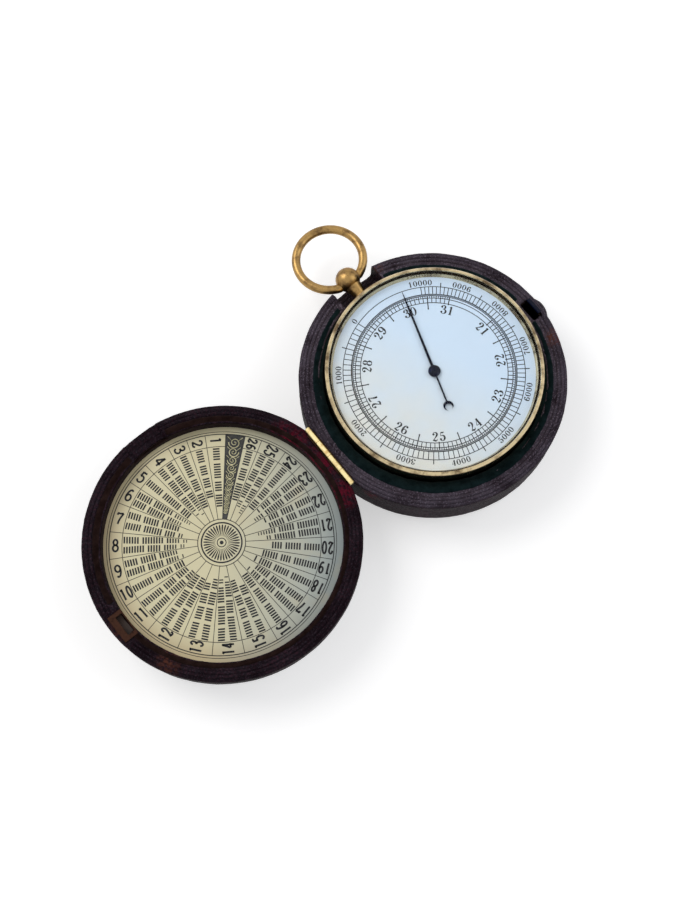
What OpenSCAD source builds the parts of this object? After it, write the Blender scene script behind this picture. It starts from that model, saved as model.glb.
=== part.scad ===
// Pocket barometer in a round clam-shell leather travelling case, lying open.
// Millimetres. The origin is the centre of the base's flat underside, +Z is up,
// +X runs from the hinge to the push-button and +Y runs out along the pendant.
// The lid lies open at -X, and the instrument sits in the base's well.

/* [Instrument case] */
// Outer radius of the bezel
bezel_r = 24; // [22:0.1:29]
// Thickness of the instrument's back
back_t = 0.8; // [0.6:0.1:1.2]
// Wall of the instrument's cup
cup_wall = 0.9; // [0.7:0.1:1.3]
// Bezel overhang outside the cup wall
bezel_overhang = 1.1; // [1:0.1:1.6]
// Gap between the hairspring's collet and the dial
dial_over = 0.8; // [0.6:0.05:4]
// Radius of the screws that hold the movement to the back
cup_screw_r = 0.8; // [0.6:0.05:1]
// Gap between the adjusting screw and the nearest of those screws' heads
cup_screw_gap = 0.15; // [0.1:0.05:0.5]
// Instrument's place in the well, towards the push-button
inst_x = 0.5; // [0:0.1:0.6]
// Instrument's place in the well, towards the pendant notch
inst_y = 0.4; // [0:0.1:0.5]
// Running clearance between the bezel and the cup
bezel_clear = 0.05; // [0.02:0.01:0.1]

/* [Dial and glass] */
// Thickness of the silvered dial plate
dial_t = 0.45; // [0.3:0.05:0.8]
// Width of the revolving altitude ring
ring_w = 4.9; // [4.4:0.05:6]
// Gap between the dial plate and the revolving altitude ring
dial_gap = 0.1; // [0.05:0.05:0.3]
// Thickness of the altitude ring
ring_t = 0.4; // [0.3:0.05:0.6]
// Free height between the dial and the glass
glass_gap = 1.0; // [0.9:0.05:2]
// Thickness of the glass
glass_t = 0.9; // [0.6:0.1:1.4]
// Depth of the glass below the bezel's top edge
glass_sunk = 0.3; // [0.2:0.1:0.8]
// Width of the bezel's sloping inner wall
slope_w = 0.8; // [0.6:0.05:1.2]

/* [Hand] */
// Gap between the hand's tip and the foot of the bezel's sloping wall
hand_gap = 2.65; // [1:0.05:5]
// Length of the tail from the arbor to the counterpoise ring's centre
tail_len = 8.4; // [6:0.1:10]
// Direction of the hand, anticlockwise from +X
hand_angle = 71.5; // [0:0.5:360]
// Thickness of the hand
hand_t = 0.2; // [0.15:0.05:0.35]
// Radius of the domed boss at the hand's centre
boss_r = 1.36; // [1.1:0.02:1.8]
// Radius of the arbor
arbor_r = 0.35; // [0.3:0.01:0.5]

/* [Pendant and bow] */
// Radius of the pendant's ball
ball_r = 2.8; // [2.6:0.1:3.4]
// Distance from the cup's wall to the centre of the pendant's ball
neck_len = 7.2; // [7:0.1:10]
// Height of the pendant's axis over the instrument's back
pendant_h = 7.6; // [7:0.1:8.5]
// Radius of the pendant's neck where it meets the cup
neck_r = 1.9; // [1.6:0.05:2]
// Outer radius of the bow ring
bow_r = 8.65; // [8:0.05:11]
// Radius of the bow's wire
bow_wire_r = 1; // [0.8:0.05:1.1]
// Clearance of the bow's wire in the ball
bow_clear = 0.08; // [0.06:0.01:0.1]
// Distance of the bow's pivot inside the ball's centre
bow_inset = 0.5; // [0.3:0.05:0.7]
// Angle that the bow droops below level at rest
bow_droop = 4; // [0:1:10]

/* [Travelling case] */
// Gap between the bezel and the velvet
well_gap = 0.9; // [0.85:0.05:2]
// Thickness of the velvet lining
lining_t = 0.5; // [0.3:0.05:0.8]
// Thickness of the case's wooden wall
board_t = 3.5; // [3.4:0.1:5]
// Thickness of the lid's wooden wall
lid_board_t = 3; // [2.6:0.05:3.6]
// Thickness of the base's wooden floor
floor_t = 1.2; // [1:0.1:2.5]
// Thickness of the leather
leather_t = 0.7; // [0.5:0.05:0.9]
// Radius of the base's lower outside edge
base_edge_r = 3.5; // [2:0.1:4.5]
// Amount by which the lid's radius is larger than the base's
lid_over = 0.4; // [0:0.1:0.8]
// Depth of the lid half
lid_h = 8.4; // [7.6:0.1:12]
// Radius of the lid's outside edge
lid_edge_r = 4; // [2.5:0.1:4.8]
// Height that the bezel stands above the hinge line
bezel_proud = 2.9; // [2.4:0.1:3.3]
// Clearance between the bezel and the forecaster disc when the case is shut
shut_clear = 0.6; // [0.4:0.1:1.5]
// Gap between each rim and the plane where the halves meet
rim_gap = 0.15; // [0.1:0.05:0.3]
// Height of the tooled ridges on the rims
ridge_h = 0.3; // [0.2:0.05:0.4]
// Half the width of the notch for the pendant in the base's wall
notch_half_w = 5.5; // [5:0.1:6.5]
// Distance from the pendant's ball down to the notch's floor
notch_clear = 0.8; // [0.4:0.1:1.5]
// Half the width of the shallow dip in the lid's rim
dip_half_w = 4.15; // [3:0.05:6]
// Depth of the dip in the lid's rim
dip_depth = 1.3; // [0.8:0.1:1.8]

/* [Forecaster disc] */
// Thickness of the ivorine disc
disc_t = 0.6; // [0.4:0.1:1]
// Thickness of the card behind the disc
card_t = 0.5; // [0.3:0.1:1]
// Gap between the disc and the lid's velvet
disc_gap = 0.05; // [0.03:0.01:0.2]

/* [Hinge] */
// Distance of the hinge line inside the base's outline
hinge_inset = 0.45; // [0.3:0.05:0.8]
// Length of the hinge barrel
barrel_len = 15.7; // [12:0.1:18]
// Radius of the hinge barrel
barrel_r = 0.65; // [0.6:0.05:0.9]
// Radius of the hinge pin
hinge_pin_r = 0.3; // [0.25:0.05:0.4]
// Clearance of the pin in the knuckles
hinge_clear = 0.04; // [0.02:0.01:0.1]
// Gap between neighbouring knuckles
knuckle_gap = 0.1; // [0.05:0.05:0.2]
// Number of knuckles
knuckles = 4; // [4:2:6]
// Thickness of the hinge leaves
leaf_t = 0.5; // [0.4:0.05:0.7]
// Length of the hinge leaves
leaf_len = 13.2; // [10:0.1:13.2]
// Height of the hinge leaves
leaf_h = 5; // [4.5:0.1:5.5]
// Gap between each leaf's face and the hinge line
leaf_gap = 0.35; // [0.3:0.05:0.5]

/* [Push-button catch] */
// Place of the catch across the case, along Y
catch_y = -1.6; // [-3:0.1:1]
// Height of the button's axis over the underside
button_z = 8.6; // [8:0.1:9]
// Radius of the leather-covered button
button_r = 3.2; // [2.8:0.1:3.4]
// Height of the button's dome outside the case
button_out = 1.7; // [1.2:0.1:2.2]
// Clearance between the button and its hole
button_clear = 0.1; // [0.06:0.01:0.2]
// Thickness of the steel latch
latch_t = 0.35; // [0.3:0.05:0.5]
// Width of the steel latch
latch_w = 4; // [3:0.1:4.4]
// Height of the latch's pivot over the underside
latch_pivot_z = 3.4; // [3.2:0.1:3.8]
// Radius of the latch's pivot pin
latch_pin_r = 0.4; // [0.3:0.05:0.5]
// Radius of the button's stem
stem_r = 1; // [0.7:0.05:1.2]
// Distance of the latch inside the base's outline
latch_in = 2.2; // [2.2:0.05:2.4]
// Height of the hook's nose above the hinge line
nose_z = 0.7; // [0.65:0.05:0.9]
// Reach of the hook's nose
nose_len = 0.7; // [0.5:0.05:0.8]

/* [Movement] */
// Gap between the movement plate and the cup's wall
plate_gap = 2.2; // [1:0.1:2.8]
// Thickness of the movement plate
plate_t = 1; // [0.8:0.1:1.4]
// Radius of the aneroid capsule
capsule_r = 11; // [9.2:0.1:13.2]
// Height of the aneroid capsule
capsule_h = 2.6; // [2.1:0.1:3.2]
// Height of the stud under the capsule
stud_h = 0.5; // [0.4:0.1:0.6]
// Distance from the capsule's edge to the mainspring's pivot
spring_off = 2; // [1.8:0.1:2.4]
// Height of the mainspring's pivot over the capsule
pivot_over = 1.3; // [1.2:0.05:1.5]
// Radius of the mainspring's pivot pin
spring_pin_r = 0.5; // [0.4:0.05:0.6]
// Radius of the post on the capsule
post_r = 1; // [0.8:0.05:1.1]
// Radius of the movement's large screws
screw_r = 0.6; // [0.45:0.05:0.7]
// Radius of the movement's small screws
small_screw_r = 0.5; // [0.4:0.05:0.55]
// Width of the mainspring
spring_w = 8; // [6:0.2:9]
// Thickness of the mainspring
spring_t = 0.6; // [0.4:0.1:0.7]
// Distance from the capsule's edge to the rocking shaft
rocker_off = 3.5; // [3.2:0.1:4]
// Height of the rocking shaft over the movement plate
rocker_h = 2.8; // [2.6:0.1:3]
// Radius of the rocking shaft
rocker_r = 0.5; // [0.4:0.05:0.6]
// Length of the rocking shaft's short arm
short_arm = 1.2; // [1:0.1:1.4]
// Length of the rocking shaft's chain arm
chain_arm = 5.5; // [5:0.1:5.7]
// Angle of the rocking shaft's arms at rest
rocker_tilt = 18.8; // [15:0.1:22]
// Height of the arbor bridge over the mainspring's pivot
bridge_over = 2; // [1.9:0.05:2.4]
// Thickness of the arbor bridge
bridge_t = 0.8; // [0.6:0.1:1]
// Radius of the drum that the chain winds on
drum_r = 0.8; // [0.6:0.05:1]
// Clearance of every pivot in its hole
pivot_clear = 0.05; // [0.03:0.01:0.1]
// Number of turns of the hairspring
hair_turns = 3; // [2:1:4]
// Distance between the turns of the hairspring
hair_pitch = 0.9; // [0.7:0.05:1]

/* [Hidden] */
$fn = 64;
little = 0.01;

// Case radii, from the bezel outwards.
well_r = bezel_r + well_gap;
board_in = well_r + lining_t;
board_out = board_in + board_t;
case_r = board_out + leather_t;
lid_r = case_r + lid_over;
lid_board_out = lid_r - leather_t;
lid_board_in = lid_board_out - lid_board_t;
lid_well_r = lid_board_in - lining_t;
disc_r = lid_well_r - disc_gap;
hinge_d = case_r - hinge_inset;

// Heights, from the underside up to the hairspring.
floor_z = leather_t + floor_t;
back_z = floor_z + lining_t;
plate_z = back_z + back_t;
plate_top = plate_z + plate_t;
capsule_z = plate_top + stud_h;
capsule_top = capsule_z + capsule_h;
pivot_z = capsule_top + pivot_over;
leaf_z = pivot_z - spring_t / 2;
lever_z = leaf_z + spring_t;
lever_t = 0.4;
rocker_z = plate_top + rocker_h;
bridge_z = pivot_z + bridge_over;
drum_z = bridge_z + bridge_t + 0.2;
drum_h = 0.8;
hair_z = drum_z + drum_h + 0.3;
hair_t = 0.25;
collet_rim = 0.1;

// Heights, from the dial upwards.
dial_under = hair_z + hair_t + collet_rim + dial_over;
dial_top = dial_under + dial_t;
hand_z = dial_top + 0.35;
glass_z = dial_top + glass_gap;
bezel_top = glass_z + glass_t + glass_sunk;
hinge_z = bezel_top - bezel_proud;
rim_z = hinge_z - rim_gap - ridge_h;
pendant_z = back_z + pendant_h;
lid_recess = bezel_proud + shut_clear;
lid_rim_z = -rim_gap - ridge_h;

// Instrument radii, from the bezel inwards.
cup_r = bezel_r - bezel_overhang;
cup_in = cup_r - cup_wall;
neck_in_r = cup_r - 0.5;
glass_r = bezel_r - 0.8;
slope_top_r = bezel_r - 0.95;
slope_low_r = slope_top_r - slope_w;
bezel_low = dial_top - 2.2;
ring_top = dial_top + 0.05;
ring_under = ring_top - ring_t;
ring_r = bezel_r - 1.05;
dial_r = ring_r - ring_w - dial_gap;
plate_r = cup_in - plate_gap;
hand_len = slope_low_r - hand_gap;
cup_top = ring_under - 0.1;
ball_y = cup_r + neck_len;
pivot_y = ball_y - bow_inset;
bow_mean_r = bow_r - bow_wire_r;
bow_pin_half = ball_r - 0.05;
bow_centre = sqrt(bow_mean_r * bow_mean_r - bow_pin_half * bow_pin_half);

// Catch.
latch_x = case_r - latch_in;
stem_gap = 0.15;
web_x = latch_x + 0.5;
web_t = 0.7;
slot_half = latch_w / 2 + 0.4;
slot_in = latch_x - latch_t - 1.15;
striker_edge = latch_x + 0.1;
striker_half = 3.2;

// Movement, from the arbor outwards.
spring_pivot_y = capsule_r + spring_off;
rocker_y = capsule_r + rocker_off;
ear_x = spring_w / 2 + 0.9;
ear_t = 1.5;
head_over = 0.4;
lever_tip_y = rocker_y - short_arm * cos(rocker_tilt);
hair_r0 = drum_r + 0.1;
hair_r1 = hair_r0 + hair_turns * hair_pitch;

// Places.
module on_inst() { translate([inst_x, inst_y, 0]) children(); }
module on_lid() { translate([-2 * hinge_d, 0, hinge_z]) children(); }
module along_x(x, y, z) { translate([x, y, z]) rotate([0, 90, 0]) children(); }
module along_y(x, y, z) { translate([x, y, z]) rotate([-90, 0, 0]) children(); }
module box(x0, x1, y0, y1, z0, z1) {
  translate([x0, y0, z0]) cube([x1 - x0, y1 - y0, z1 - z0]);
}
module disc(r, z0, z1) { translate([0, 0, z0]) cylinder(r = r, h = z1 - z0, $fn = 96); }
module ring(r0, r1, z0, z1) {
  difference() {
    disc(r1, z0, z1);
    disc(r0, z0 - 1, z1 + 1);
  }
}

// Outline of a solid round box: lower edge radius a, upper edge radius b.
module box_2d(r, z0, z1, a, b) {
  translate([0, z0 + a]) square([r, z1 - z0 - a - b]);
  translate([0, z0]) square([r - a, z1 - z0]);
  translate([0, z0 + a]) square([r - b, z1 - z0 - a]);
  translate([r - a, z0 + a]) circle(a);
  translate([r - b, z1 - b]) circle(b);
}
module turned() { rotate_extrude($fn = 128) children(); }

// Two tooled ridges on a rim whose outline has radius r.
module ridges_2d(r, z) {
  for (d = [1.15, 1.95]) translate([r - d, z]) circle(ridge_h, $fn = 24);
}

// The ridges stop short of the hinge at +X or -X, which side says.
module ridge_stop(side, r, z) {
  half = leaf_len / 2 + 1.6;
  box(side > 0 ? r - 4 : -r - 1, side > 0 ? r + 1 : -r + 4, -half, half, z, z + 2);
}

// Notch for the pendant: g widens it all round.
module notch(g) {
  w = notch_half_w + g;
  z = pendant_z - ball_r - notch_clear - g;
  on_inst() translate([0, case_r + 5, 0]) rotate([90, 0, 0]) linear_extrude(case_r + 5 - well_r + 3) {
    translate([-w, z + 2]) square([2 * w, hinge_z]);
    translate([-w + 2, z]) square([2 * w - 4, hinge_z]);
    for (s = [-1, 1]) translate([s * (w - 2), z + 2]) circle(2, $fn = 32);
  }
}

// Shallow dip in the lid's rim, in the lid's own place.
module dip(g) {
  w = dip_half_w + g;
  box(-w, w, lid_well_r - 3, lid_r + 5, -dip_depth - rim_gap - g, 5);
}

// Flat that both halves have at the hinge: side is 1 at the base and -1 at the lid.
module hinge_room(side) {
  x = -hinge_d + side * leaf_gap;
  box(side > 0 ? x - 5 : x, side > 0 ? x : x + 5, -lid_r, lid_r, -1, hinge_z + 5);
}
module barrel_room(x, z) {
  along_y(x, -barrel_len / 2 - 0.15, z) cylinder(r = barrel_r + 0.2, h = barrel_len + 0.3);
}
module leaf_room(x, z) {
  box(x, x + leaf_t, -leaf_len / 2, leaf_len / 2, z - leaf_h, z + 5);
}
rivet_y = [-leaf_len / 3, 0, leaf_len / 3];
rivet_r = 0.45;
rivet_len = 2.2;
module rivets(x, z) {
  for (y = rivet_y) along_x(x, y, z) cylinder(r = rivet_r, h = rivet_len, $fn = 24);
}

// Room for the catch in the base.
module catch_room() {
  box(slot_in, web_x, catch_y - slot_half, catch_y + slot_half, back_z, hinge_z + 1);
  along_x(web_x - 1, catch_y, button_z) cylinder(r = stem_r + pivot_clear, h = 5, $fn = 32);
  along_x(web_x + web_t, catch_y, button_z) cylinder(r = button_r + button_clear, h = 10);
  latch_pin_form();
}
module latch_pin_form() {
  along_y(latch_x - latch_t / 2, catch_y - slot_half - 0.8, latch_pivot_z)
    cylinder(r = latch_pin_r, h = 2 * slot_half + 1.6, $fn = 24);
}

// Room for the hook in the lid, in the lid's own place.
module hook_room() {
  box(-latch_x - nose_len - 0.5, -slot_in + 0.1, catch_y - slot_half, catch_y + slot_half,
      -nose_z - 1.5, 1);
}
module striker_room() {
  box(-latch_x - 1.5, -slot_in + 0.3, catch_y - striker_half, catch_y + striker_half, -0.6, 5);
}

// Base half
module base_board_form() {
  difference() {
    turned() difference() {
      box_2d(board_out, leather_t, rim_z - leather_t, base_edge_r - leather_t, 0.3);
      translate([0, floor_z]) square([board_in, hinge_z]);
    }
    notch(0.5);
  }
}
module base_board() {
  color("saddlebrown") difference() {
    base_board_form();
    hinge_room(1);
    barrel_room(-hinge_d, hinge_z);
    leaf_room(-hinge_d + leaf_gap, hinge_z);
    rivets(-hinge_d + leaf_gap, hinge_z - 3);
    catch_room();
  }
}
module base_bottom_leather() {
  color([0.2, 0.14, 0.17]) disc(case_r - base_edge_r, 0, leather_t);
}
module base_band_leather() {
  color([0.22, 0.15, 0.18]) difference() {
    turned() difference() {
      union() {
        box_2d(case_r, 0, rim_z, base_edge_r, 0.9);
        ridges_2d(case_r, rim_z);
      }
      square([case_r - base_edge_r, leather_t]);
      square([well_r + 0.05, hinge_z]);
      translate([0, leather_t]) square([board_in, rim_z - 2 * leather_t]);
    }
    base_board_form();
    notch(0);
    ridge_stop(-1, case_r, rim_z);
    hinge_room(1);
    barrel_room(-hinge_d, hinge_z);
    leaf_room(-hinge_d + leaf_gap, hinge_z);
    box(slot_in, web_x + 0.3, catch_y - slot_half, catch_y + slot_half, rim_z - 2, hinge_z + 1);
    along_x(web_x + web_t, catch_y, button_z) cylinder(r = button_r + button_clear, h = 10);
  }
}
module base_velvet() {
  color([0.07, 0.16, 0.15]) difference() {
    turned() {
      translate([0, floor_z]) square([board_in, lining_t]);
      translate([well_r, floor_z]) square([lining_t, rim_z - leather_t - floor_z]);
    }
    notch(0.5);
  }
}

// Hinge
knuckle_len = barrel_len / knuckles;
module knuckle_row(first) {
  for (i = [first : 2 : knuckles - 1])
    along_y(-hinge_d, -barrel_len / 2 + i * knuckle_len + knuckle_gap / 2, hinge_z)
      cylinder(r = barrel_r, h = knuckle_len - knuckle_gap, $fn = 40);
}
module knuckle_gaps(first) {
  for (i = [first : 2 : knuckles - 1])
    along_y(-hinge_d, -barrel_len / 2 + i * knuckle_len - knuckle_gap / 2, hinge_z)
      cylinder(r = barrel_r + 0.12, h = knuckle_len + knuckle_gap, $fn = 40);
}
module pin_bore() {
  along_y(-hinge_d, -barrel_len, hinge_z)
    cylinder(r = hinge_pin_r + hinge_clear, h = 2 * barrel_len, $fn = 32);
}
module hinge_leaf(side, first) {
  x = side > 0 ? -hinge_d + leaf_gap : -hinge_d - leaf_gap - leaf_t;
  difference() {
    union() {
      difference() {
        box(x, x + leaf_t, -leaf_len / 2, leaf_len / 2, hinge_z - leaf_h, hinge_z - rim_gap);
        knuckle_gaps(1 - first);
        rivets(side > 0 ? x : x + leaf_t - rivet_len, hinge_z - 3);
      }
      knuckle_row(first);
    }
    pin_bore();
  }
}
module hinge_leaf_base() { color([0.93, 0.85, 0.6]) hinge_leaf(1, 0); }
module hinge_leaf_lid() { color([0.93, 0.85, 0.6]) hinge_leaf(-1, 1); }
module hinge_pin() {
  color("tan") along_y(-hinge_d, -barrel_len / 2, hinge_z)
    cylinder(r = hinge_pin_r, h = barrel_len, $fn = 32);
}
module hinge_rivets_base() { color("goldenrod") rivets(-hinge_d + leaf_gap, hinge_z - 3); }
module hinge_rivets_lid() {
  color("goldenrod") rivets(-hinge_d - leaf_gap - rivet_len, hinge_z - 3);
}

// Lid half
module lid_board_form() {
  difference() {
    turned() difference() {
      box_2d(lid_board_out, leather_t - lid_h, lid_rim_z - leather_t,
             lid_edge_r - leather_t, 0.3);
      translate([0, -lid_recess - disc_t - card_t]) square([lid_board_in, lid_h]);
    }
    dip(0.5);
  }
}
module striker_pin_set() {
  for (s = [-1, 1]) translate([-latch_x + 0.5, catch_y + s * 2.75, -2.6])
    cylinder(r = 0.3, h = 2.4, $fn = 24);
}
module lid_board() {
  color("saddlebrown") difference() {
    on_lid() difference() {
      lid_board_form();
      hook_room();
      striker_room();
      striker_pin_set();
    }
    hinge_room(-1);
    barrel_room(-hinge_d, hinge_z);
    leaf_room(-hinge_d - leaf_gap - leaf_t, hinge_z);
    rivets(-hinge_d - leaf_gap - rivet_len, hinge_z - 3);
  }
}
module lid_top_leather() {
  color([0.2, 0.14, 0.17]) on_lid() disc(lid_r - lid_edge_r, -lid_h, leather_t - lid_h);
}
module lid_band_leather() {
  color([0.22, 0.15, 0.18]) difference() {
    on_lid() difference() {
      turned() difference() {
        union() {
          box_2d(lid_r, -lid_h, lid_rim_z, lid_edge_r, 0.9);
          ridges_2d(lid_r, lid_rim_z);
        }
        translate([0, -lid_h]) square([lid_r - lid_edge_r, leather_t]);
        translate([0, -lid_h]) square([lid_well_r + 0.05, lid_h + 1]);
        translate([0, leather_t - lid_h]) square([lid_board_in, lid_h + lid_rim_z - 2 * leather_t]);
      }
      lid_board_form();
      dip(0);
      ridge_stop(1, lid_r, lid_rim_z);
      box(-lid_r - 1, -lid_r + 5, catch_y - striker_half - 0.7, catch_y + striker_half + 0.7,
          lid_rim_z, 2);
      hook_room();
      striker_room();
      striker_pin_set();
    }
    hinge_room(-1);
    barrel_room(-hinge_d, hinge_z);
    leaf_room(-hinge_d - leaf_gap - leaf_t, hinge_z);
  }
}
module lid_velvet() {
  color([0.13, 0.09, 0.08]) on_lid() difference() {
    ring(lid_well_r, lid_board_in, -lid_recess - disc_t, lid_rim_z - leather_t);
    dip(0.5);
    hook_room();
    striker_room();
  }
}
module forecaster_disc() {
  color([0.86, 0.83, 0.65]) on_lid() disc(disc_r, -lid_recess - disc_t, -lid_recess);
}
module disc_card() {
  color("tan") on_lid() disc(disc_r, -lid_recess - disc_t - card_t, -lid_recess - disc_t);
}
module striker_plate() {
  color([0.6, 0.5, 0.3]) on_lid() difference() {
    box(-latch_x - 1.5, -slot_in + 0.3, catch_y - striker_half, catch_y + striker_half, -0.6, -0.2);
    box(-striker_edge, -slot_in + 0.05, catch_y - slot_half + 0.1, catch_y + slot_half - 0.1, -2, 1);
    striker_pin_set();
  }
}
module striker_pins() { color("goldenrod") on_lid() striker_pin_set(); }

// Catch
module latch() {
  x0 = latch_x - latch_t;
  color([0.16, 0.18, 0.26]) difference() {
    union() {
      box(x0, latch_x, catch_y - latch_w / 2, catch_y + latch_w / 2, latch_pivot_z, hinge_z + nose_z);
      along_y(latch_x - latch_t / 2, catch_y - latch_w / 2, latch_pivot_z)
        cylinder(r = latch_pin_r + 0.2, h = latch_w, $fn = 32);
      translate([0, catch_y + latch_w / 2, 0]) rotate([90, 0, 0]) linear_extrude(latch_w)
        polygon([[x0, hinge_z + nose_z - little], [latch_x + nose_len, hinge_z + nose_z - little],
                 [latch_x + nose_len, hinge_z + nose_z + 0.2], [x0 + 0.2, hinge_z + nose_z + 0.7],
                 [x0, hinge_z + nose_z + 0.6]]);
    }
    along_y(latch_x - latch_t / 2, catch_y - latch_w, latch_pivot_z)
      cylinder(r = latch_pin_r + pivot_clear, h = 2 * latch_w, $fn = 24);
  }
}
module latch_pin() { color("silver") latch_pin_form(); }
core_r = 2.5;
core_x0 = web_x + web_t + 0.65;
core_x1 = case_r + button_out - 0.9;
module push_button() {
  color([0.75, 0.62, 0.35]) {
    along_x(latch_x + stem_gap, catch_y, button_z) cylinder(r = stem_r, h = core_x0 - latch_x, $fn = 32);
    along_x(latch_x + stem_gap + 0.05, catch_y, button_z) cylinder(r = stem_r + 0.5, h = 0.25, $fn = 32);
    along_x(core_x0, catch_y, button_z) cylinder(r = core_r, h = core_x1 - core_x0, $fn = 48);
  }
}
module button_leather() {
  dome = 1.3;
  ball = (button_r * button_r + dome * dome) / (2 * dome);
  skirt = case_r + button_out - dome - core_x0;
  color([0.2, 0.14, 0.17]) along_x(core_x0, catch_y, button_z) difference() {
    intersection() {
      cylinder(r = button_r, h = skirt + dome + 1);
      translate([0, 0, skirt + dome - ball]) sphere(ball, $fn = 128);
    }
    translate([0, 0, -1]) cylinder(r = core_r, h = core_x1 - core_x0 + 1, $fn = 48);
  }
}

// Instrument case
adjust_at = [ear_x + ear_t + 3.8, spring_pivot_y];
adjust_r = 0.9;
cup_head_r = 1.4;
cup_screw_d = plate_r - 2.5;
cup_screw_a = atan2(adjust_at[1], adjust_at[0])
  + 2 * asin((cup_head_r + adjust_r + cup_screw_gap) / 2 / cup_screw_d);
cup_screw_at = [for (i = [0 : 2]) cup_screw_d * [cos(cup_screw_a + 120 * i), sin(cup_screw_a + 120 * i)]];
module cup_screw_holes() {
  for (p = cup_screw_at) translate([p[0], p[1], back_z]) {
    cylinder(r = cup_screw_r, h = back_t + plate_t, $fn = 24);
    cylinder(r = cup_head_r, h = 0.4, $fn = 32);
  }
}
module adjust_hole(z, h) {
  translate([adjust_at[0], adjust_at[1], z]) cylinder(r = adjust_r + pivot_clear, h = h, $fn = 32);
}
module instrument_cup() {
  color([0.72, 0.56, 0.3]) on_inst() difference() {
    turned() difference() {
      union() {
        box_2d(cup_r, back_z, bezel_low - 0.1, 1.6, 0.1);
        translate([0, back_z + 1]) square([neck_in_r, cup_top - back_z - 1]);
      }
      translate([0, plate_z]) square([cup_in, 50]);
    }
    cup_screw_holes();
    adjust_hole(back_z - 1, back_t + 2);
    along_y(0, cup_in - 1, pendant_z) cylinder(r = 1.3, h = 5, $fn = 32);
  }
}
module cup_screws() {
  color("slategray") on_inst() difference() {
    cup_screw_holes();
    for (p = cup_screw_at) translate([p[0] - 2, p[1] - 0.15, back_z - 1]) cube([4, 0.3, 1.2]);
  }
}
module pendant() {
  waist_r = 1.4;
  color([0.66, 0.5, 0.27]) on_inst() difference() {
    along_y(0, 0, pendant_z) rotate_extrude($fn = 64) {
      polygon([[0, cup_in], [1.3, cup_in], [1.3, cup_r], [neck_r, cup_r], [neck_r, cup_r + 1.3],
               [waist_r + 0.15, cup_r + 2], [waist_r, cup_r + 2.6], [waist_r + 0.15, cup_r + 3.3],
               [neck_r, ball_y - ball_r + 0.6], [0, ball_y]]);
      intersection() {
        translate([0, ball_y]) circle(ball_r, $fn = 96);
        translate([0, ball_y - ball_r]) square([ball_r, 2 * ball_r]);
      }
    }
    along_x(-5, pivot_y, pendant_z) cylinder(r = bow_wire_r + bow_clear, h = 10, $fn = 48);
  }
}
module bow_ring() {
  arc = asin(bow_pin_half / bow_mean_r);
  color([0.75, 0.58, 0.32]) on_inst() translate([0, pivot_y, pendant_z]) rotate([-bow_droop, 0, 0]) {
    translate([0, bow_centre, 0]) rotate([0, 0, -90 + arc])
      rotate_extrude(angle = 360 - 2 * arc, $fn = 96) translate([bow_mean_r, 0]) circle(bow_wire_r, $fn = 32);
    along_x(-bow_pin_half, 0, 0) cylinder(r = bow_wire_r, h = 2 * bow_pin_half, $fn = 32);
    for (s = [-1, 1]) translate([s * bow_pin_half, 0, 0]) sphere(bow_wire_r, $fn = 32);
  }
}

// Bezel, glass and scales
module bezel() {
  color([0.8, 0.68, 0.42]) on_inst() turned() polygon([
    [neck_in_r + bezel_clear, bezel_low], [bezel_r - 0.35, bezel_low], [bezel_r, bezel_low + 0.35],
    [bezel_r, bezel_top - 0.7], [bezel_r - 0.12, bezel_top - 0.3], [bezel_r - 0.4, bezel_top],
    [slope_top_r + 0.1, bezel_top], [slope_top_r, bezel_top - glass_sunk],
    [glass_r + bezel_clear, bezel_top - glass_sunk],
    [glass_r + bezel_clear, glass_z], [slope_top_r - slope_w / 2, glass_z], [slope_low_r, ring_top],
    [bezel_r - 1, ring_top], [bezel_r - 1, ring_under], [neck_in_r + bezel_clear, ring_under]]);
}
module glass() { color([0.85, 0.9, 0.95, 0.3]) on_inst() disc(glass_r, glass_z, glass_z + glass_t); }
module altitude_ring() {
  color([0.85, 0.87, 0.9]) on_inst() ring(dial_r + dial_gap, ring_r, ring_under, ring_top);
}
foot_at = [for (a = [20, 125, 235]) (dial_r - 1.35) * [cos(a), sin(a)]];
module dial_plate() {
  color([0.82, 0.86, 0.92]) on_inst() difference() {
    disc(dial_r, dial_under, dial_top);
    disc(1.2, dial_under - 1, dial_top + 1);
  }
}
module dial_feet() {
  color("goldenrod") on_inst() for (p = foot_at) translate([p[0], p[1], plate_top])
    cylinder(r = 0.8, h = dial_under - plate_top, $fn = 32);
}

// Movement
module movement_plate() {
  color([0.8, 0.68, 0.35]) on_inst() difference() {
    disc(plate_r, plate_z, plate_top);
    cup_screw_holes();
    adjust_hole(plate_z - 1, plate_t + 2);
  }
}
module aneroid_capsule() {
  rings = 4;
  step = (capsule_r - 3) / rings;
  color([0.78, 0.76, 0.7]) on_inst() turned() {
    difference() {
      union() {
        translate([0, capsule_z]) square([capsule_r, capsule_h]);
        translate([0, plate_top]) square([2, capsule_top - plate_top]);
      }
      for (i = [0 : rings - 1], z = [capsule_z, capsule_top])
        translate([2.9 + i * step, z]) circle(0.35, $fn = 24);
      translate([capsule_r, (capsule_z + capsule_top) / 2]) circle(0.7, $fn = 32);
    }
  }
}
module bracket_screw_set(r, z, h) {
  for (x = [-ear_x - ear_t + 0.9, ear_x + ear_t - 0.9]) translate([x, spring_pivot_y + 2.7, z])
    cylinder(r = r, h = h, $fn = 24);
}
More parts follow.
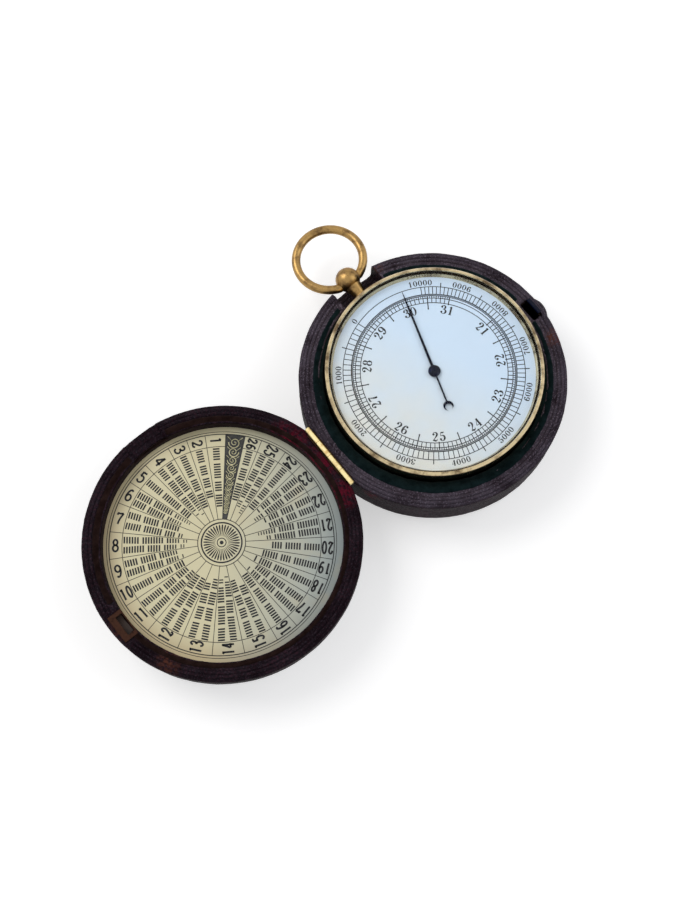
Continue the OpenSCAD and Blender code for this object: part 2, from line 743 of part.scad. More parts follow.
module spring_bracket() {
  y0 = spring_pivot_y - 1.5;
  x1 = ear_x + ear_t;
  color([0.75, 0.62, 0.3]) on_inst() difference() {
    union() {
      box(-x1, x1, y0, y0 + 5.2, plate_top, plate_top + 0.9);
      for (s = [-1, 1]) translate([s > 0 ? ear_x : -ear_x - ear_t, y0, plate_top])
        cube([ear_t, 3, pivot_z - plate_top + 1.3]);
      box(x1 - little, adjust_at[0] + 1.2, adjust_at[1] - 1.5, adjust_at[1] + 1.5,
          plate_top + 0.8, plate_top + 1.4);
      box(x1 - 1, x1, adjust_at[1] - 1.5, adjust_at[1] + 1.5, plate_top, plate_top + 1.4);
    }
    along_x(-x1 - 1, spring_pivot_y, pivot_z) cylinder(r = spring_pin_r, h = 2 * x1 + 2, $fn = 32);
    bracket_screw_set(screw_r, plate_top - 1, 4);
  }
}
module bracket_screws() {
  color("slategray") on_inst() {
    bracket_screw_set(screw_r, plate_top, 0.9);
    bracket_screw_set(screw_r + head_over, plate_top + 0.9, 0.6);
  }
}
module spring_pivot_pin() {
  x1 = ear_x + ear_t;
  color("silver") on_inst() along_x(-x1, spring_pivot_y, pivot_z)
    cylinder(r = spring_pin_r, h = 2 * x1, $fn = 32);
}
module mainspring() {
  w = spring_w / 2;
  color([0.22, 0.26, 0.36]) on_inst() difference() {
    union() {
      box(-w, w, -lever_screw_y - 0.9, spring_pivot_y, leaf_z, leaf_z + spring_t);
      along_x(-w, spring_pivot_y, pivot_z) cylinder(r = spring_pin_r + 0.55, h = spring_w, $fn = 40);
    }
    along_x(-w - 1, spring_pivot_y, pivot_z)
      cylinder(r = spring_pin_r + pivot_clear, h = spring_w + 2, $fn = 32);
    disc(post_r, leaf_z - 1, leaf_z + 2);
    translate([0, -lever_screw_y, leaf_z - 1]) cylinder(r = small_screw_r, h = 3, $fn = 24);
  }
}
module capsule_post() {
  color("goldenrod") on_inst() disc(post_r, capsule_top + 0.08, lever_z + 0.9);
}
module post_nut() {
  color([0.8, 0.68, 0.35]) on_inst() difference() {
    translate([0, 0, lever_z]) cylinder(r = post_r + 0.7, h = 0.7, $fn = 6);
    disc(post_r, lever_z - 1, lever_z + 2);
  }
}
lever_screw_y = 2.9;
module main_lever() {
  color([0.7, 0.7, 0.74]) on_inst() difference() {
    translate([0, 0, lever_z]) linear_extrude(lever_t)
      polygon([[-1.4, -2], [1.4, -2], [1.4, -3.8], [0.7, -lever_tip_y - 0.6],
               [-0.7, -lever_tip_y - 0.6], [-1.4, -3.8]]);
    translate([0, -lever_screw_y, lever_z - 1]) cylinder(r = small_screw_r, h = 3, $fn = 24);
  }
}
module compensating_strip() {
  z = lever_z + lever_t;
  color([0.8, 0.65, 0.3]) on_inst() box(-0.6, 0.6, -lever_tip_y + 3, -4.6, z, z + 0.3);
}
module lever_screw() {
  z = lever_z + lever_t;
  color("slategray") on_inst() translate([0, -lever_screw_y, 0]) {
    disc(small_screw_r, leaf_z, z);
    disc(small_screw_r + head_over, z, z + 0.5);
  }
}
arm_tip_z = rocker_z - short_arm * sin(rocker_tilt);
module link_rod() {
  color("silver") on_inst() translate([0, -lever_tip_y, 0]) disc(0.25, arm_tip_z + 0.4, lever_z - 0.05);
}
module standard_screw_set(r, z, h) {
  for (x = [-3.6, 3.6]) translate([x, -rocker_y + 0.6, z]) cylinder(r = r, h = h, $fn = 24);
}
standard_x = 5.4;
module rocker_standards() {
  color([0.75, 0.62, 0.3]) on_inst() difference() {
    union() {
      box(-standard_x - 1.4, standard_x + 1.4, -rocker_y - 1.5, -rocker_y + 1.7, plate_top, plate_top + 0.6);
      for (s = [-1, 1]) translate([s > 0 ? standard_x : -standard_x - 1.4, -rocker_y - 1.2, plate_top])
        cube([1.4, 2.4, rocker_h + 1.2]);
    }
    along_x(-standard_x - 2, -rocker_y, rocker_z)
      cylinder(r = rocker_r + pivot_clear, h = 2 * standard_x + 4, $fn = 32);
    standard_screw_set(small_screw_r, plate_top - 1, 3);
  }
}
module standard_screws() {
  color("slategray") on_inst() {
    standard_screw_set(small_screw_r, plate_top, 0.6);
    standard_screw_set(small_screw_r + head_over, plate_top + 0.6, 0.4);
  }
}
arm_x = 3;
module rocking_shaft() {
  color([0.66, 0.67, 0.72]) on_inst() translate([0, -rocker_y, rocker_z]) {
    along_x(-standard_x - 1.3, 0, 0) cylinder(r = rocker_r, h = 2 * standard_x + 2.6, $fn = 32);
    for (x = [-0.5, arm_x - 0.5]) along_x(x, 0, 0) cylinder(r = 0.85, h = 1, $fn = 32);
    rotate([-rocker_tilt, 0, 0]) {
      box(-0.3, 0.3, 0.5, short_arm + 0.15, -0.15, 0.15);
      box(arm_x - 0.25, arm_x + 0.25, -0.2, 0.2, 0.6, chain_arm);
    }
  }
}
leg_x = capsule_r + 0.6;
module bridge_screw_set(r, z, h) {
  for (s = [-1, 1]) translate([s * (leg_x + 1.1), 0, z]) cylinder(r = r, h = h, $fn = 24);
}
module arbor_bridge() {
  color([0.78, 0.64, 0.32]) on_inst() difference() {
    union() {
      box(-leg_x - 2.2, leg_x + 2.2, -1.8, 1.8, bridge_z, bridge_z + bridge_t);
      for (s = [-1, 1]) translate([s > 0 ? leg_x : -leg_x - 2.2, -1.8, plate_top])
        cube([2.2, 3.6, bridge_z - plate_top + little]);
    }
    disc(arbor_r + pivot_clear, bridge_z - 1, bridge_z + 5);
    hair_stud_form();
    bridge_screw_set(screw_r, bridge_z - 2, 6);
  }
}
module bridge_screws() {
  color("slategray") on_inst() {
    bridge_screw_set(screw_r, bridge_z - 2, bridge_t + 2);
    bridge_screw_set(screw_r + head_over, bridge_z + bridge_t, 0.5);
  }
}
module arbor() {
  color("silver") on_inst() {
    disc(arbor_r, bridge_z + 0.05, hand_z + 0.3);
    disc(drum_r, drum_z, drum_z + drum_h);
    disc(drum_r, hair_z - collet_rim, hair_z + hair_t + collet_rim);
  }
}
function spiral(r, a) = [r * cos(a), r * sin(a)];
module hairspring() {
  n = hair_turns * 20;
  inner = [for (i = [0 : n]) spiral(hair_r0 + hair_pitch * i / 20, 18 * i)];
  outer = [for (i = [n : -1 : 0]) spiral(hair_r0 + hair_pitch * i / 20 + 0.12, 18 * i)];
  color([0.3, 0.34, 0.5]) on_inst() translate([0, 0, hair_z]) linear_extrude(hair_t)
    polygon(concat(inner, outer));
}
module hair_stud_form() {
  translate([hair_r1 + 0.5, 0, 0]) disc(0.37, bridge_z, hair_z + hair_t + collet_rim);
}
module hairspring_stud() { color("goldenrod") on_inst() hair_stud_form(); }
module chain() {
  link_r = 0.12;
  start = [drum_r + link_r + 0.03, 0, drum_z + drum_h / 2];
  tip_y = -rocker_y + (chain_arm + 0.05) * sin(rocker_tilt);
  end = [arm_x - 0.4, tip_y, rocker_z + (chain_arm - 0.2) * cos(rocker_tilt)];
  run = end - start;
  flat = sqrt(run[0] * run[0] + run[1] * run[1]);
  color("goldenrod") on_inst() translate(start) rotate([0, 0, atan2(run[1], run[0])])
    rotate([0, 90 - atan2(run[2], flat), 0]) cylinder(r = link_r, h = norm(run), $fn = 16);
}
module adjusting_screw() {
  color("slategray") on_inst() translate([adjust_at[0], adjust_at[1], 0]) difference() {
    disc(adjust_r, back_z + 0.05, plate_top + 0.7);
    box(-2, 2, -0.15, 0.15, back_z - 1, back_z + 0.4);
  }
}

// Hand
module hand() {
  ring_r = 1.1;
  color([0.1, 0.13, 0.24]) on_inst() translate([0, 0, hand_z]) rotate([0, 0, hand_angle]) difference() {
    linear_extrude(hand_t) {
      polygon([[0, -0.3], [hand_len * 0.8, -0.2], [hand_len, -0.06],
               [hand_len, 0.06], [hand_len * 0.8, 0.2], [0, 0.3]]);
      translate([-tail_len + 0.9, -0.17]) square([tail_len - 0.9, 0.34]);
      difference() {
        translate([-tail_len, 0]) circle(ring_r, $fn = 48);
        translate([-tail_len - 0.35, 0]) circle(ring_r * 0.72, $fn = 48);
      }
      circle(1, $fn = 48);
    }
    translate([0, 0, -1]) cylinder(r = arbor_r, h = 3, $fn = 32);
  }
}
module hand_boss() {
  dome = 0.25;
  ball = (boss_r * boss_r + dome * dome) / (2 * dome);
  color([0.08, 0.1, 0.2]) on_inst() translate([0, 0, hand_z + hand_t]) rotate_extrude($fn = 64) difference() {
    intersection() {
      translate([0, dome - ball + 0.1]) circle(ball, $fn = 128);
      square([boss_r, 2]);
    }
    square([arbor_r, 0.1]);
  }
}

base_board();
base_bottom_leather();
base_band_leather();
base_velvet();
hinge_leaf_base();
hinge_pin();
hinge_rivets_base();
latch_pin();
lid_board();
lid_top_leather();
lid_band_leather();
lid_velvet();
forecaster_disc();
disc_card();
hinge_leaf_lid();
hinge_rivets_lid();
striker_plate();
striker_pins();
latch();
push_button();
button_leather();
instrument_cup();
pendant();
bow_ring();
cup_screws();
bezel();
glass();
altitude_ring();
dial_plate();
dial_feet();
movement_plate();
aneroid_capsule();
spring_bracket();
bracket_screws();
spring_pivot_pin();
mainspring();
capsule_post();
post_nut();
main_lever();
compensating_strip();
lever_screw();
link_rod();
rocker_standards();
standard_screws();
rocking_shaft();
arbor_bridge();
bridge_screws();
arbor();
hairspring();
hairspring_stud();
chain();
hand();
hand_boss();
adjusting_screw();
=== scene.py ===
"""Looks of a pocket barometer in its round leather travelling case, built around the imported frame."""

import math
import random

import bmesh
import bpy
import numpy as np
from bpy.props import FloatProperty, FloatVectorProperty, IntProperty, PointerProperty
from mathutils import Matrix, Vector, noise


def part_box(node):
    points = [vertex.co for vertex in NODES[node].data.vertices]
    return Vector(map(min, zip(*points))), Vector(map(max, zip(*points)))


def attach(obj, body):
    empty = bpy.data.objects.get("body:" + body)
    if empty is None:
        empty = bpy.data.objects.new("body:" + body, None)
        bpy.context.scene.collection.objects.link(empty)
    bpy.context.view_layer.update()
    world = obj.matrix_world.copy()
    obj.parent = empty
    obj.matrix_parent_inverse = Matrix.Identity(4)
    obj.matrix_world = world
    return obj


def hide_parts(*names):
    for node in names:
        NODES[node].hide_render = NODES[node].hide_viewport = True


bl_info = {
    "name": "Pocket barometer in its travelling case",
    "version": (1, 0, 0),
    "blender": (4, 5, 0),
    "location": "View3D > Sidebar > Barometer",
    "description": "Builds the looks of a cased pocket barometer around its frame",
    "category": "Object",
}

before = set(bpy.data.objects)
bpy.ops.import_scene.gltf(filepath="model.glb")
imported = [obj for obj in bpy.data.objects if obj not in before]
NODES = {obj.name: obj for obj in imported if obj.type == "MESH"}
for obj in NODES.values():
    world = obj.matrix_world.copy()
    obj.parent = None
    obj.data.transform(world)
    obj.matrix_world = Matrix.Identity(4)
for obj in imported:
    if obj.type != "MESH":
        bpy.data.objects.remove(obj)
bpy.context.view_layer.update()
MM = 0.001


def srgb(red, green, blue):
    """A colour given in 0 to 255 steps, as Blender's linear values."""
    steps = (c / 255 for c in (red, green, blue))
    return tuple(c / 12.92 if c <= 0.04045 else ((c + 0.055) / 1.055) ** 2.4 for c in steps)


def colour_value(name, description, rgb):
    return FloatVectorProperty(name=name, description=description, subtype="COLOR", size=3,
                               min=0, max=1, default=srgb(*rgb))


def length_value(name, description, millimetres):
    return FloatProperty(name=name, description=description, default=millimetres * MM,
                         min=0, precision=5, subtype="DISTANCE", unit="LENGTH")


class CaseLooks(bpy.types.PropertyGroup):
    """Leather and velvet of the travelling case."""
    leather: colour_value("Leather", "Oxblood leather in the hollows of the grain", (18, 7, 12))
    leather_high: colour_value("Leather highs", "Leather on the tops of the grain", (60, 28, 38))
    leather_rubbed: colour_value("Rubbed leather", "Leather where the dye is rubbed back to red", (104, 20, 40))
    leather_dry: colour_value("Dry leather", "Leather along worn edges", (92, 54, 42))
    grain: length_value("Grain", "Width of the pebbles of the grain", 0.5)
    # Painted sheen: pale dust and painted glints on up-facing leather, stronger on the base than on the lid
    base_bloom: FloatProperty(name="Base painted sheen", description="Painted glints and sheen on the base's leather",
                              default=0.75, min=0, max=1, subtype="FACTOR")
    lid_bloom: FloatProperty(name="Lid painted sheen", description="Painted glints and sheen on the lid's leather",
                             default=0.14, min=0, max=1, subtype="FACTOR")
    velvet_base: colour_value("Base velvet", "Velvet around the instrument", (8, 21, 23))
    velvet_lid: colour_value("Lid velvet", "Velvet around the forecaster disc", (24, 12, 10))
    wood: colour_value("Wood", "Wooden shell where it shows in the notch", (58, 36, 24))


class MetalLooks(bpy.types.PropertyGroup):
    """Metals of the instrument, the hinge and the catch."""
    gilt: colour_value("Gilt brass", "Bezel and cup", (206, 188, 150))
    gilt_worn: colour_value("Worn gilt", "Bezel and cup where the gilding is thin", (112, 94, 70))
    bow: colour_value("Aged brass", "Bow and pendant", (164, 132, 82))
    bow_dark: colour_value("Dark brass", "Tarnish on the bow and pendant", (108, 84, 54))
    striker: colour_value("Browned brass", "Striker plate in the lid's rim", (58, 38, 30))
    hinge: colour_value("Hinge brass", "Hinge barrel and leaves", (248, 230, 172))
    blued: colour_value("Blued steel", "Hand, boss and catch", (10, 14, 32))
    steel: colour_value("Steel", "Screws, pins and springs", (150, 154, 162))


class DialLooks(bpy.types.PropertyGroup):
    """Silvered dial, altitude ring and their scales."""
    silver: colour_value("Silvering", "Dial plate and altitude ring", (174, 191, 208))
    silver_aged: colour_value("Warm silvering", "Silvering that is warmer towards one side", (190, 186, 172))
    ink: colour_value("Ink", "Engraved and filled scales", (8, 8, 12))
    inch_number: length_value("Inch number", "Height of the pressure numbers", 2.05)
    feet_number: length_value("Feet number", "Height of the altitude numbers", 1.3)
    line: length_value("Line", "Width of the scales' fine lines", 0.18)


class DiscLooks(bpy.types.PropertyGroup):
    """Ivorine forecaster disc and its print."""
    ivory: colour_value("Ivorine", "Printed disc in the lid", (226, 218, 180))
    ivory_shade: colour_value("Aged ivorine", "Yellowed margin of the disc", (216, 198, 156))
    number: length_value("Number", "Height of the sector numbers", 2.7)
    sectors: IntProperty(name="Sectors", description="Numbered sectors on the disc", default=26, min=2, max=26)
    petals: IntProperty(name="Petals", description="Rays of the rosette at the hub", default=36, min=6, max=60)


class StageLooks(bpy.types.PropertyGroup):
    """Floor, lamps and camera."""
    floor: colour_value("Floor", "Pale studio floor", (232, 232, 232))
    key_power: FloatProperty(name="Key lamp", description="Power of the large lamp",
                             default=2.2, min=0, unit="POWER")
    fill_power: FloatProperty(name="Fill lamp", description="Power of the fill lamp",
                              default=0.9, min=0, unit="POWER")
    lens: FloatProperty(name="Lens", description="Focal length of the camera in millimetres",
                        default=52.234, min=1)


# Shaders
# Pale dust colour, also used as painted sheen on leather that faces up
DUST_AND_SHEEN = srgb(84, 77, 88)
# Colour of painted glints: pale specks that stand in for the highlights on the leather's grain
PAINTED_GLINTS = srgb(118, 108, 122)
TOOLED_LINE = srgb(10, 5, 8)
CLOUDED_SILVER = srgb(188, 196, 206)
# Painted cool shade that greys one side of the ivorine disc
PAINTED_COOL_SHADE = srgb(158, 172, 176)
CARD, CARD_FIBRE = srgb(150, 128, 96), srgb(118, 96, 68)


class Finish:
    """A material's nodes, with short ways to add to them."""

    def __init__(self, name, colour, **sockets):
        self.material = bpy.data.materials.new(name)
        self.material.use_nodes = True
        self.tree = self.material.node_tree
        self.main = self.tree.nodes["Principled BSDF"]
        coordinates = self.tree.nodes.new("ShaderNodeTexCoord").outputs
        self.place, self.normal = coordinates["Object"], coordinates["Normal"]
        self.feed("Base Color", colour)
        for key, value in sockets.items():
            self.feed(key.replace("_", " "), value)

    def feed(self, name, value):
        """Gives one of the main shader's sockets a value or a link."""
        self.put(self.main.inputs[name], value)

    def put(self, socket, value):
        if isinstance(value, bpy.types.NodeSocket):
            self.tree.links.new(value, socket)
        elif hasattr(value, "__len__") and len(value) == 3 and socket.type == "RGBA":
            socket.default_value = (*value, 1)
        else:
            socket.default_value = value

    def node(self, kind, inputs=(), **settings):
        made = self.tree.nodes.new(kind)
        for key, value in settings.items():
            setattr(made, key, value)
        for key, value in dict(inputs).items():
            self.put(made.inputs[key], value)
        return made

    def noise(self, size, detail, rough=0.5, squeeze=None):
        """Noise whose features are size metres wide, and narrower along an axis that squeeze scales up."""
        vector = self.place
        if squeeze:
            vector = self.node("ShaderNodeMapping", {"Vector": vector, "Scale": squeeze}).outputs[0]
        return self.node("ShaderNodeTexNoise", {"Vector": vector, "Scale": 1 / size, "Detail": detail,
                                                "Roughness": rough}).outputs[0]

    def cells(self, size):
        """Distance across rounded cells that are size metres wide."""
        return self.node("ShaderNodeTexVoronoi", {"Vector": self.place, "Scale": 1 / size},
                         feature="SMOOTH_F1").outputs["Distance"]

    def spread(self, value, low, high, to_low=0.0, to_high=1.0):
        return self.node("ShaderNodeMapRange", {0: value, 1: low, 2: high, 3: to_low, 4: to_high}).outputs[0]

    def math(self, operation, first, second):
        return self.node("ShaderNodeMath", {0: first, 1: second}, operation=operation).outputs[0]

    def mix(self, share, first, second):
        made = self.node("ShaderNodeMix", data_type="RGBA")
        self.put(made.inputs[0], share)
        self.put(made.inputs[6], first)
        self.put(made.inputs[7], second)
        return made.outputs[2]

    def distance(self, place, point):
        made = self.node("ShaderNodeVectorMath", {0: place, 1: tuple(point)}, operation="DISTANCE")
        return made.outputs["Value"]

    def near(self, point, reach):
        """1 at a point in the frame, falling to 0 at reach metres from it."""
        return self.spread(self.distance(self.place, point), 0, reach, 1, 0)

    def ring(self, centre, radius, width):
        """1 on a circle about an upright axis, falling to 0 at half its width."""
        flat = self.node("ShaderNodeVectorMath", {0: self.place, 1: (1, 1, 0)}, operation="MULTIPLY").outputs[0]
        off = self.math("SUBTRACT", self.distance(flat, (centre.x, centre.y, 0)), radius)
        return self.spread(self.math("ABSOLUTE", off, 0.0), 0, width / 2, 1, 0)

    def across(self, start, end):
        """0 at start and 1 at end, along the line between two points."""
        line = end - start
        line /= line.length_squared
        dot = self.node("ShaderNodeVectorMath", {0: self.place, 1: tuple(line)}, operation="DOT_PRODUCT")
        return self.spread(dot.outputs["Value"], start.dot(line), start.dot(line) + 1)

    def bump(self, *heights):
        """Adds up (height, depth in metres) pairs as bumps on the surface."""
        normal = None
        for height, depth in heights:
            made = self.node("ShaderNodeBump", {"Height": height, "Distance": depth, "Strength": 1.0})
            if normal is not None:
                self.put(made.inputs["Normal"], normal)
            normal = made.outputs[0]
        self.feed("Normal", normal)
        return self.material


def leather_finish(name, looks, painted_sheen, centre, radius, rubbed, dry):
    """Pebbled leather with three tooled lines near a rim. painted_sheen is the share of pale dust and painted sheen
    where it faces up, which lightens up-facing leather as light from above would, and rubbed and dry are (point, reach)
    pairs where it is worn."""
    grain = looks.grain
    skin = Finish(name, looks.leather, Specular_IOR_Level=0.01)
    pebbles = skin.cells(grain)
    fine = skin.noise(grain * 0.35, 3, 0.6)
    tops = skin.spread(pebbles, 0.5, 0.1)
    patches = skin.noise(6 * MM, 3, 0.6)
    # Painted glints: pale specks standing in for highlights on the grain
    glint_share = skin.spread(skin.noise(grain * 0.65, 2, 0.6), 0.54, 0.68)
    # Painted sheen: leather that faces up gets more pale dust and painted glints, as if lit from above
    facing = skin.node("ShaderNodeSeparateXYZ", {0: skin.normal}).outputs["Z"]
    up_sheen_share = skin.spread(facing, 0.2, 0.8, 0.2 * painted_sheen, painted_sheen)
    high = skin.math("MULTIPLY", tops, skin.spread(patches, 0.3, 0.7))
    colour = skin.mix(high, looks.leather, looks.leather_high)
    # Pale dust and painted sheen where the leather faces up
    colour = skin.mix(skin.math("MULTIPLY", skin.spread(patches, 0.25, 0.6), up_sheen_share), colour, DUST_AND_SHEEN)
    colour = skin.mix(skin.math("MULTIPLY", glint_share, up_sheen_share), colour, PAINTED_GLINTS)
    tooled = [skin.ring(centre, radius - inset * MM, 0.34 * MM) for inset in (0.72, 1.55, 2.4)]
    lines = skin.math("MAXIMUM", tooled[0], skin.math("MAXIMUM", tooled[1], tooled[2]))
    colour = skin.mix(skin.math("MULTIPLY", lines, 0.5), colour, TOOLED_LINE)
    ragged = skin.spread(skin.noise(0.8 * MM, 4, 0.7), 0.36, 0.62)
    for spots, worn in ((rubbed, looks.leather_rubbed), (dry, looks.leather_dry)):
        for point, reach in spots:
            patch = skin.math("MULTIPLY", skin.near(point, reach), ragged)
            colour = skin.mix(skin.spread(patch, 0.08, 0.7, 0, 0.8), colour, worn)
    skin.feed("Base Color", colour)
    skin.feed("Roughness", skin.spread(fine, 0.3, 0.75, 0.3, 0.6))
    swell = skin.noise(2.5 * MM, 2)
    return skin.bump((lines, -0.05 * MM), (pebbles, -0.16 * MM), (fine, 0.08 * MM), (swell, 0.1 * MM))


def velvet_finish(name, colour):
    pile = Finish(name, colour, Roughness=1.0, Specular_IOR_Level=0.03, Sheen_Weight=0.04, Sheen_Roughness=0.5)
    light = tuple(min(1.0, c * 2.6 + 0.004) for c in colour)
    pile.feed("Base Color", pile.mix(pile.spread(pile.noise(2.2 * MM, 4, 0.65), 0.35, 0.75), colour, light))
    return pile.bump((pile.noise(0.14 * MM, 2, 0.7), 0.1 * MM), (pile.noise(1.1 * MM, 2), 0.12 * MM))


def metal_finish(name, bright, dark, roughness, patch, cover, depth=0.01):
    """Metal with patches of tarnish. patch is their width and depth that of the scratches, in millimetres, and
    cover is how much of the metal is dark."""
    metal = Finish(name, bright, Metallic=1.0)
    patches = metal.noise(patch * MM, 5, 0.62)
    scratches = metal.noise(0.5 * MM, 3, 0.6, (1, 1, 6))
    share = metal.spread(patches, 0.78 - cover * 0.5, 0.9 - cover * 0.4)
    metal.feed("Base Color", metal.mix(share, bright, dark))
    uneven = metal.math("ADD", patches, scratches)
    metal.feed("Roughness", metal.spread(uneven, 0.6, 1.4, roughness * 0.7, roughness * 1.5))
    return metal.bump((scratches, depth * MM), (patches, depth * 2 * MM))


def silver_finish(name, looks, centre, radius):
    """Silvered brass: matt, brushed, and warmer towards one side."""
    plate = Finish(name, looks.silver, Metallic=0.1, Specular_IOR_Level=0.5)
    stain = plate.noise(5 * MM, 4, 0.6)
    brushed = plate.noise(0.3 * MM, 3, 0.6, (1, 5, 1))
    # Warmer tint towards one side, set by position
    side = plate.across(centre + Vector((0.2, 0.2, 0)) * radius, centre + Vector((-0.95, -0.25, 0)) * radius)
    warm_side = plate.math("MULTIPLY", side, plate.spread(stain, 0.2, 0.7, 0.4, 1))
    colour = plate.mix(warm_side, looks.silver, looks.silver_aged)
    plate.feed("Base Color", plate.mix(plate.spread(stain, 0.6, 0.8, 0, 0.35), colour, CLOUDED_SILVER))
    plate.feed("Roughness", plate.spread(brushed, 0.3, 0.7, 0.38, 0.55))
    return plate.bump((brushed, 0.004 * MM))


def ivory_finish(name, looks, centre, radius):
    """Ivorine: creamy, faintly lined, yellowed at one margin, and greyer towards the other side by painted cool shade.
    """
    sheet = Finish(name, looks.ivory, Specular_IOR_Level=0.5, Coat_Weight=0.2, Coat_Roughness=0.25)
    lines = sheet.noise(0.8 * MM, 3, 0.6, (1, 6, 1))
    stain = sheet.noise(7 * MM, 4, 0.6)
    margin = sheet.spread(sheet.distance(sheet.place, centre), radius * 0.8, radius * 0.98)
    side = sheet.across(centre + Vector((0.7, 0, 0)) * radius, centre + Vector((-0.6, -0.1, 0)) * radius)
    colour = sheet.mix(sheet.math("MULTIPLY", margin, side), looks.ivory, looks.ivory_shade)
    # Painted shade: a cool grey across the side away from the yellowed margin
    cool_shade_share = sheet.across(centre + Vector((0.0, 0.1, 0)) * radius, centre + Vector((0.75, -0.6, 0)) * radius)
    colour = sheet.mix(sheet.math("MULTIPLY", cool_shade_share, 0.9), colour, PAINTED_COOL_SHADE)
    sheet.feed("Base Color", sheet.mix(sheet.spread(stain, 0.55, 0.8, 0, 0.4), colour, looks.ivory_shade))
    sheet.feed("Roughness", sheet.spread(lines, 0.3, 0.7, 0.36, 0.5))
    return sheet.bump((lines, 0.006 * MM))


def ink_finish(name, colour):
    ink = Finish(name, colour, Roughness=0.55, Specular_IOR_Level=0.3)
    faded = tuple(min(1.0, c * 2 + 0.02) for c in colour)
    ink.feed("Base Color", ink.mix(ink.spread(ink.noise(0.9 * MM, 3, 0.7), 0.45, 0.8), colour, faded))
    return ink.material


def wood_finish(name, colour):
    wood = Finish(name, colour, Roughness=0.6)
    grain = wood.noise(0.5 * MM, 4, 0.6, (1, 0.12, 1))
    dark = tuple(c * 0.45 for c in colour)
    wood.feed("Base Color", wood.mix(wood.spread(grain, 0.35, 0.65), colour, dark))
    return wood.bump((grain, 0.03 * MM))


def card_finish(name):
    card = Finish(name, CARD, Roughness=0.85)
    fibre = card.noise(0.25 * MM, 4, 0.7)
    card.feed("Base Color", card.mix(card.spread(fibre, 0.4, 0.7), CARD, CARD_FIBRE))
    return card.bump((fibre, 0.02 * MM))


def glass_finish(name):
    """Clear glass that lets the lamps through to the dial. Its low IOR keeps the white surround's glare down."""
    pane = Finish(name, (0.985, 0.995, 1.0), Roughness=0.0, Transmission_Weight=1.0, IOR=1.22)
    through = pane.node("ShaderNodeBsdfTransparent")
    shadow = pane.node("ShaderNodeLightPath").outputs["Is Shadow Ray"]
    both = pane.node("ShaderNodeMixShader", {0: shadow, 1: pane.main.outputs[0], 2: through.outputs[0]})
    pane.put(pane.tree.nodes["Material Output"].inputs["Surface"], both.outputs[0])
    return pane.material


# Shapes
def link(name, mesh, body, material, replaced=()):
    """Makes a piece of a mesh: it rides on a body and takes the finish given."""
    piece = bpy.data.objects.new(name, mesh)
    bpy.context.scene.collection.objects.link(piece)
    mesh.materials.clear()
    mesh.materials.append(material)
    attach(piece, body)
    if replaced:
        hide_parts(*replaced)
    return piece


def dress(material, *nodes):
    """Gives CAD nodes their finish."""
    for node in nodes:
        mesh = NODES[node].data
        mesh.materials.clear()
        mesh.materials.append(material)


def roll(shell, centre, profile, start, end, shifts):
    """Adds a rolled edge to a mesh in millimetres: its profile of (radius, height) points turned from start to
    end degrees. shifts gives how far its inner and its outer points move outwards at an angle."""
    steps = max(8, int((end - start) / 1.5))
    inner, outer = min(r for r, z in profile), max(r for r, z in profile)
    rows = []
    for i in range(steps + 1):
        angle = math.radians(start + (end - start) * i / steps)
        near, far = shifts(angle)
        row = []
        for r, z in profile:
            share = (r - inner) / (outer - inner)
            reach = r + near * (1 - share) + far * share
            row.append(shell.verts.new((centre.x / MM + reach * math.cos(angle),
                                        centre.y / MM + reach * math.sin(angle), z)))
        rows.append(row)
    count = len(profile)
    for row, after in zip(rows, rows[1:]):
        for k in range(count):
            shell.faces.new((row[k], row[(k + 1) % count], after[(k + 1) % count], after[k]))
    shell.faces.new(rows[0][::-1])
    shell.faces.new(rows[-1])


def applied(piece):
    """A new mesh of an object as its modifiers shape it."""
    return bpy.data.meshes.new_from_object(piece.evaluated_get(bpy.context.evaluated_depsgraph_get()))


def softened(node, voxel, waves, most_faces, edges=(), calm=-1.0):
    """A close-meshed copy of a CAD node with soft edges. Its voxels are in millimetres, and so are the (width,
    height) pairs of its waves, which set in above the height calm. It gets the rolled edges given."""
    mesh = NODES[node].data.copy()
    shell = bmesh.new()
    shell.from_mesh(mesh)
    bmesh.ops.scale(shell, vec=(1 / MM,) * 3, verts=shell.verts)
    bmesh.ops.remove_doubles(shell, verts=shell.verts, dist=0.0005)
    for edge in edges:
        roll(shell, *edge)
    bmesh.ops.recalc_face_normals(shell, faces=shell.faces)
    shell.to_mesh(mesh)
    shell.free()
    holder = bpy.data.objects.new(node + "_rough", mesh)
    bpy.context.scene.collection.objects.link(holder)
    remesh = holder.modifiers.new("Close mesh", "REMESH")
    remesh.mode, remesh.voxel_size = "VOXEL", voxel
    smooth = holder.modifiers.new("Soft edges", "SMOOTH")
    smooth.factor, smooth.iterations = 0.5, 2
    made = applied(holder)
    places = np.zeros(len(made.vertices) * 3, np.float32)
    made.vertices.foreach_get("co", places)
    places = places.reshape(-1, 3)
    normals = np.array([v.normal for v in made.vertices])
    lift = np.zeros(len(places))
    for width, height in waves:
        lift += height * np.array([noise.noise(Vector(p) / width) for p in places])
    lift *= np.clip(places[:, 2] - calm / MM, 0, 1)
    places = places + normals * lift[:, None]
    places[:, 2] = np.maximum(places[:, 2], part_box(node)[0].z / MM)
    made.vertices.foreach_set("co", (places * MM).astype(np.float32).ravel())
    made.update()
    holder.modifiers.clear()
    holder.data = made
    triangles = len(made.polygons) * 2
    if triangles > most_faces:
        thin = holder.modifiers.new("Fewer faces", "DECIMATE")
        thin.ratio = most_faces / triangles
        made = applied(holder)
    bpy.data.objects.remove(holder)
    made.polygons.foreach_set("use_smooth", [True] * len(made.polygons))
    return made


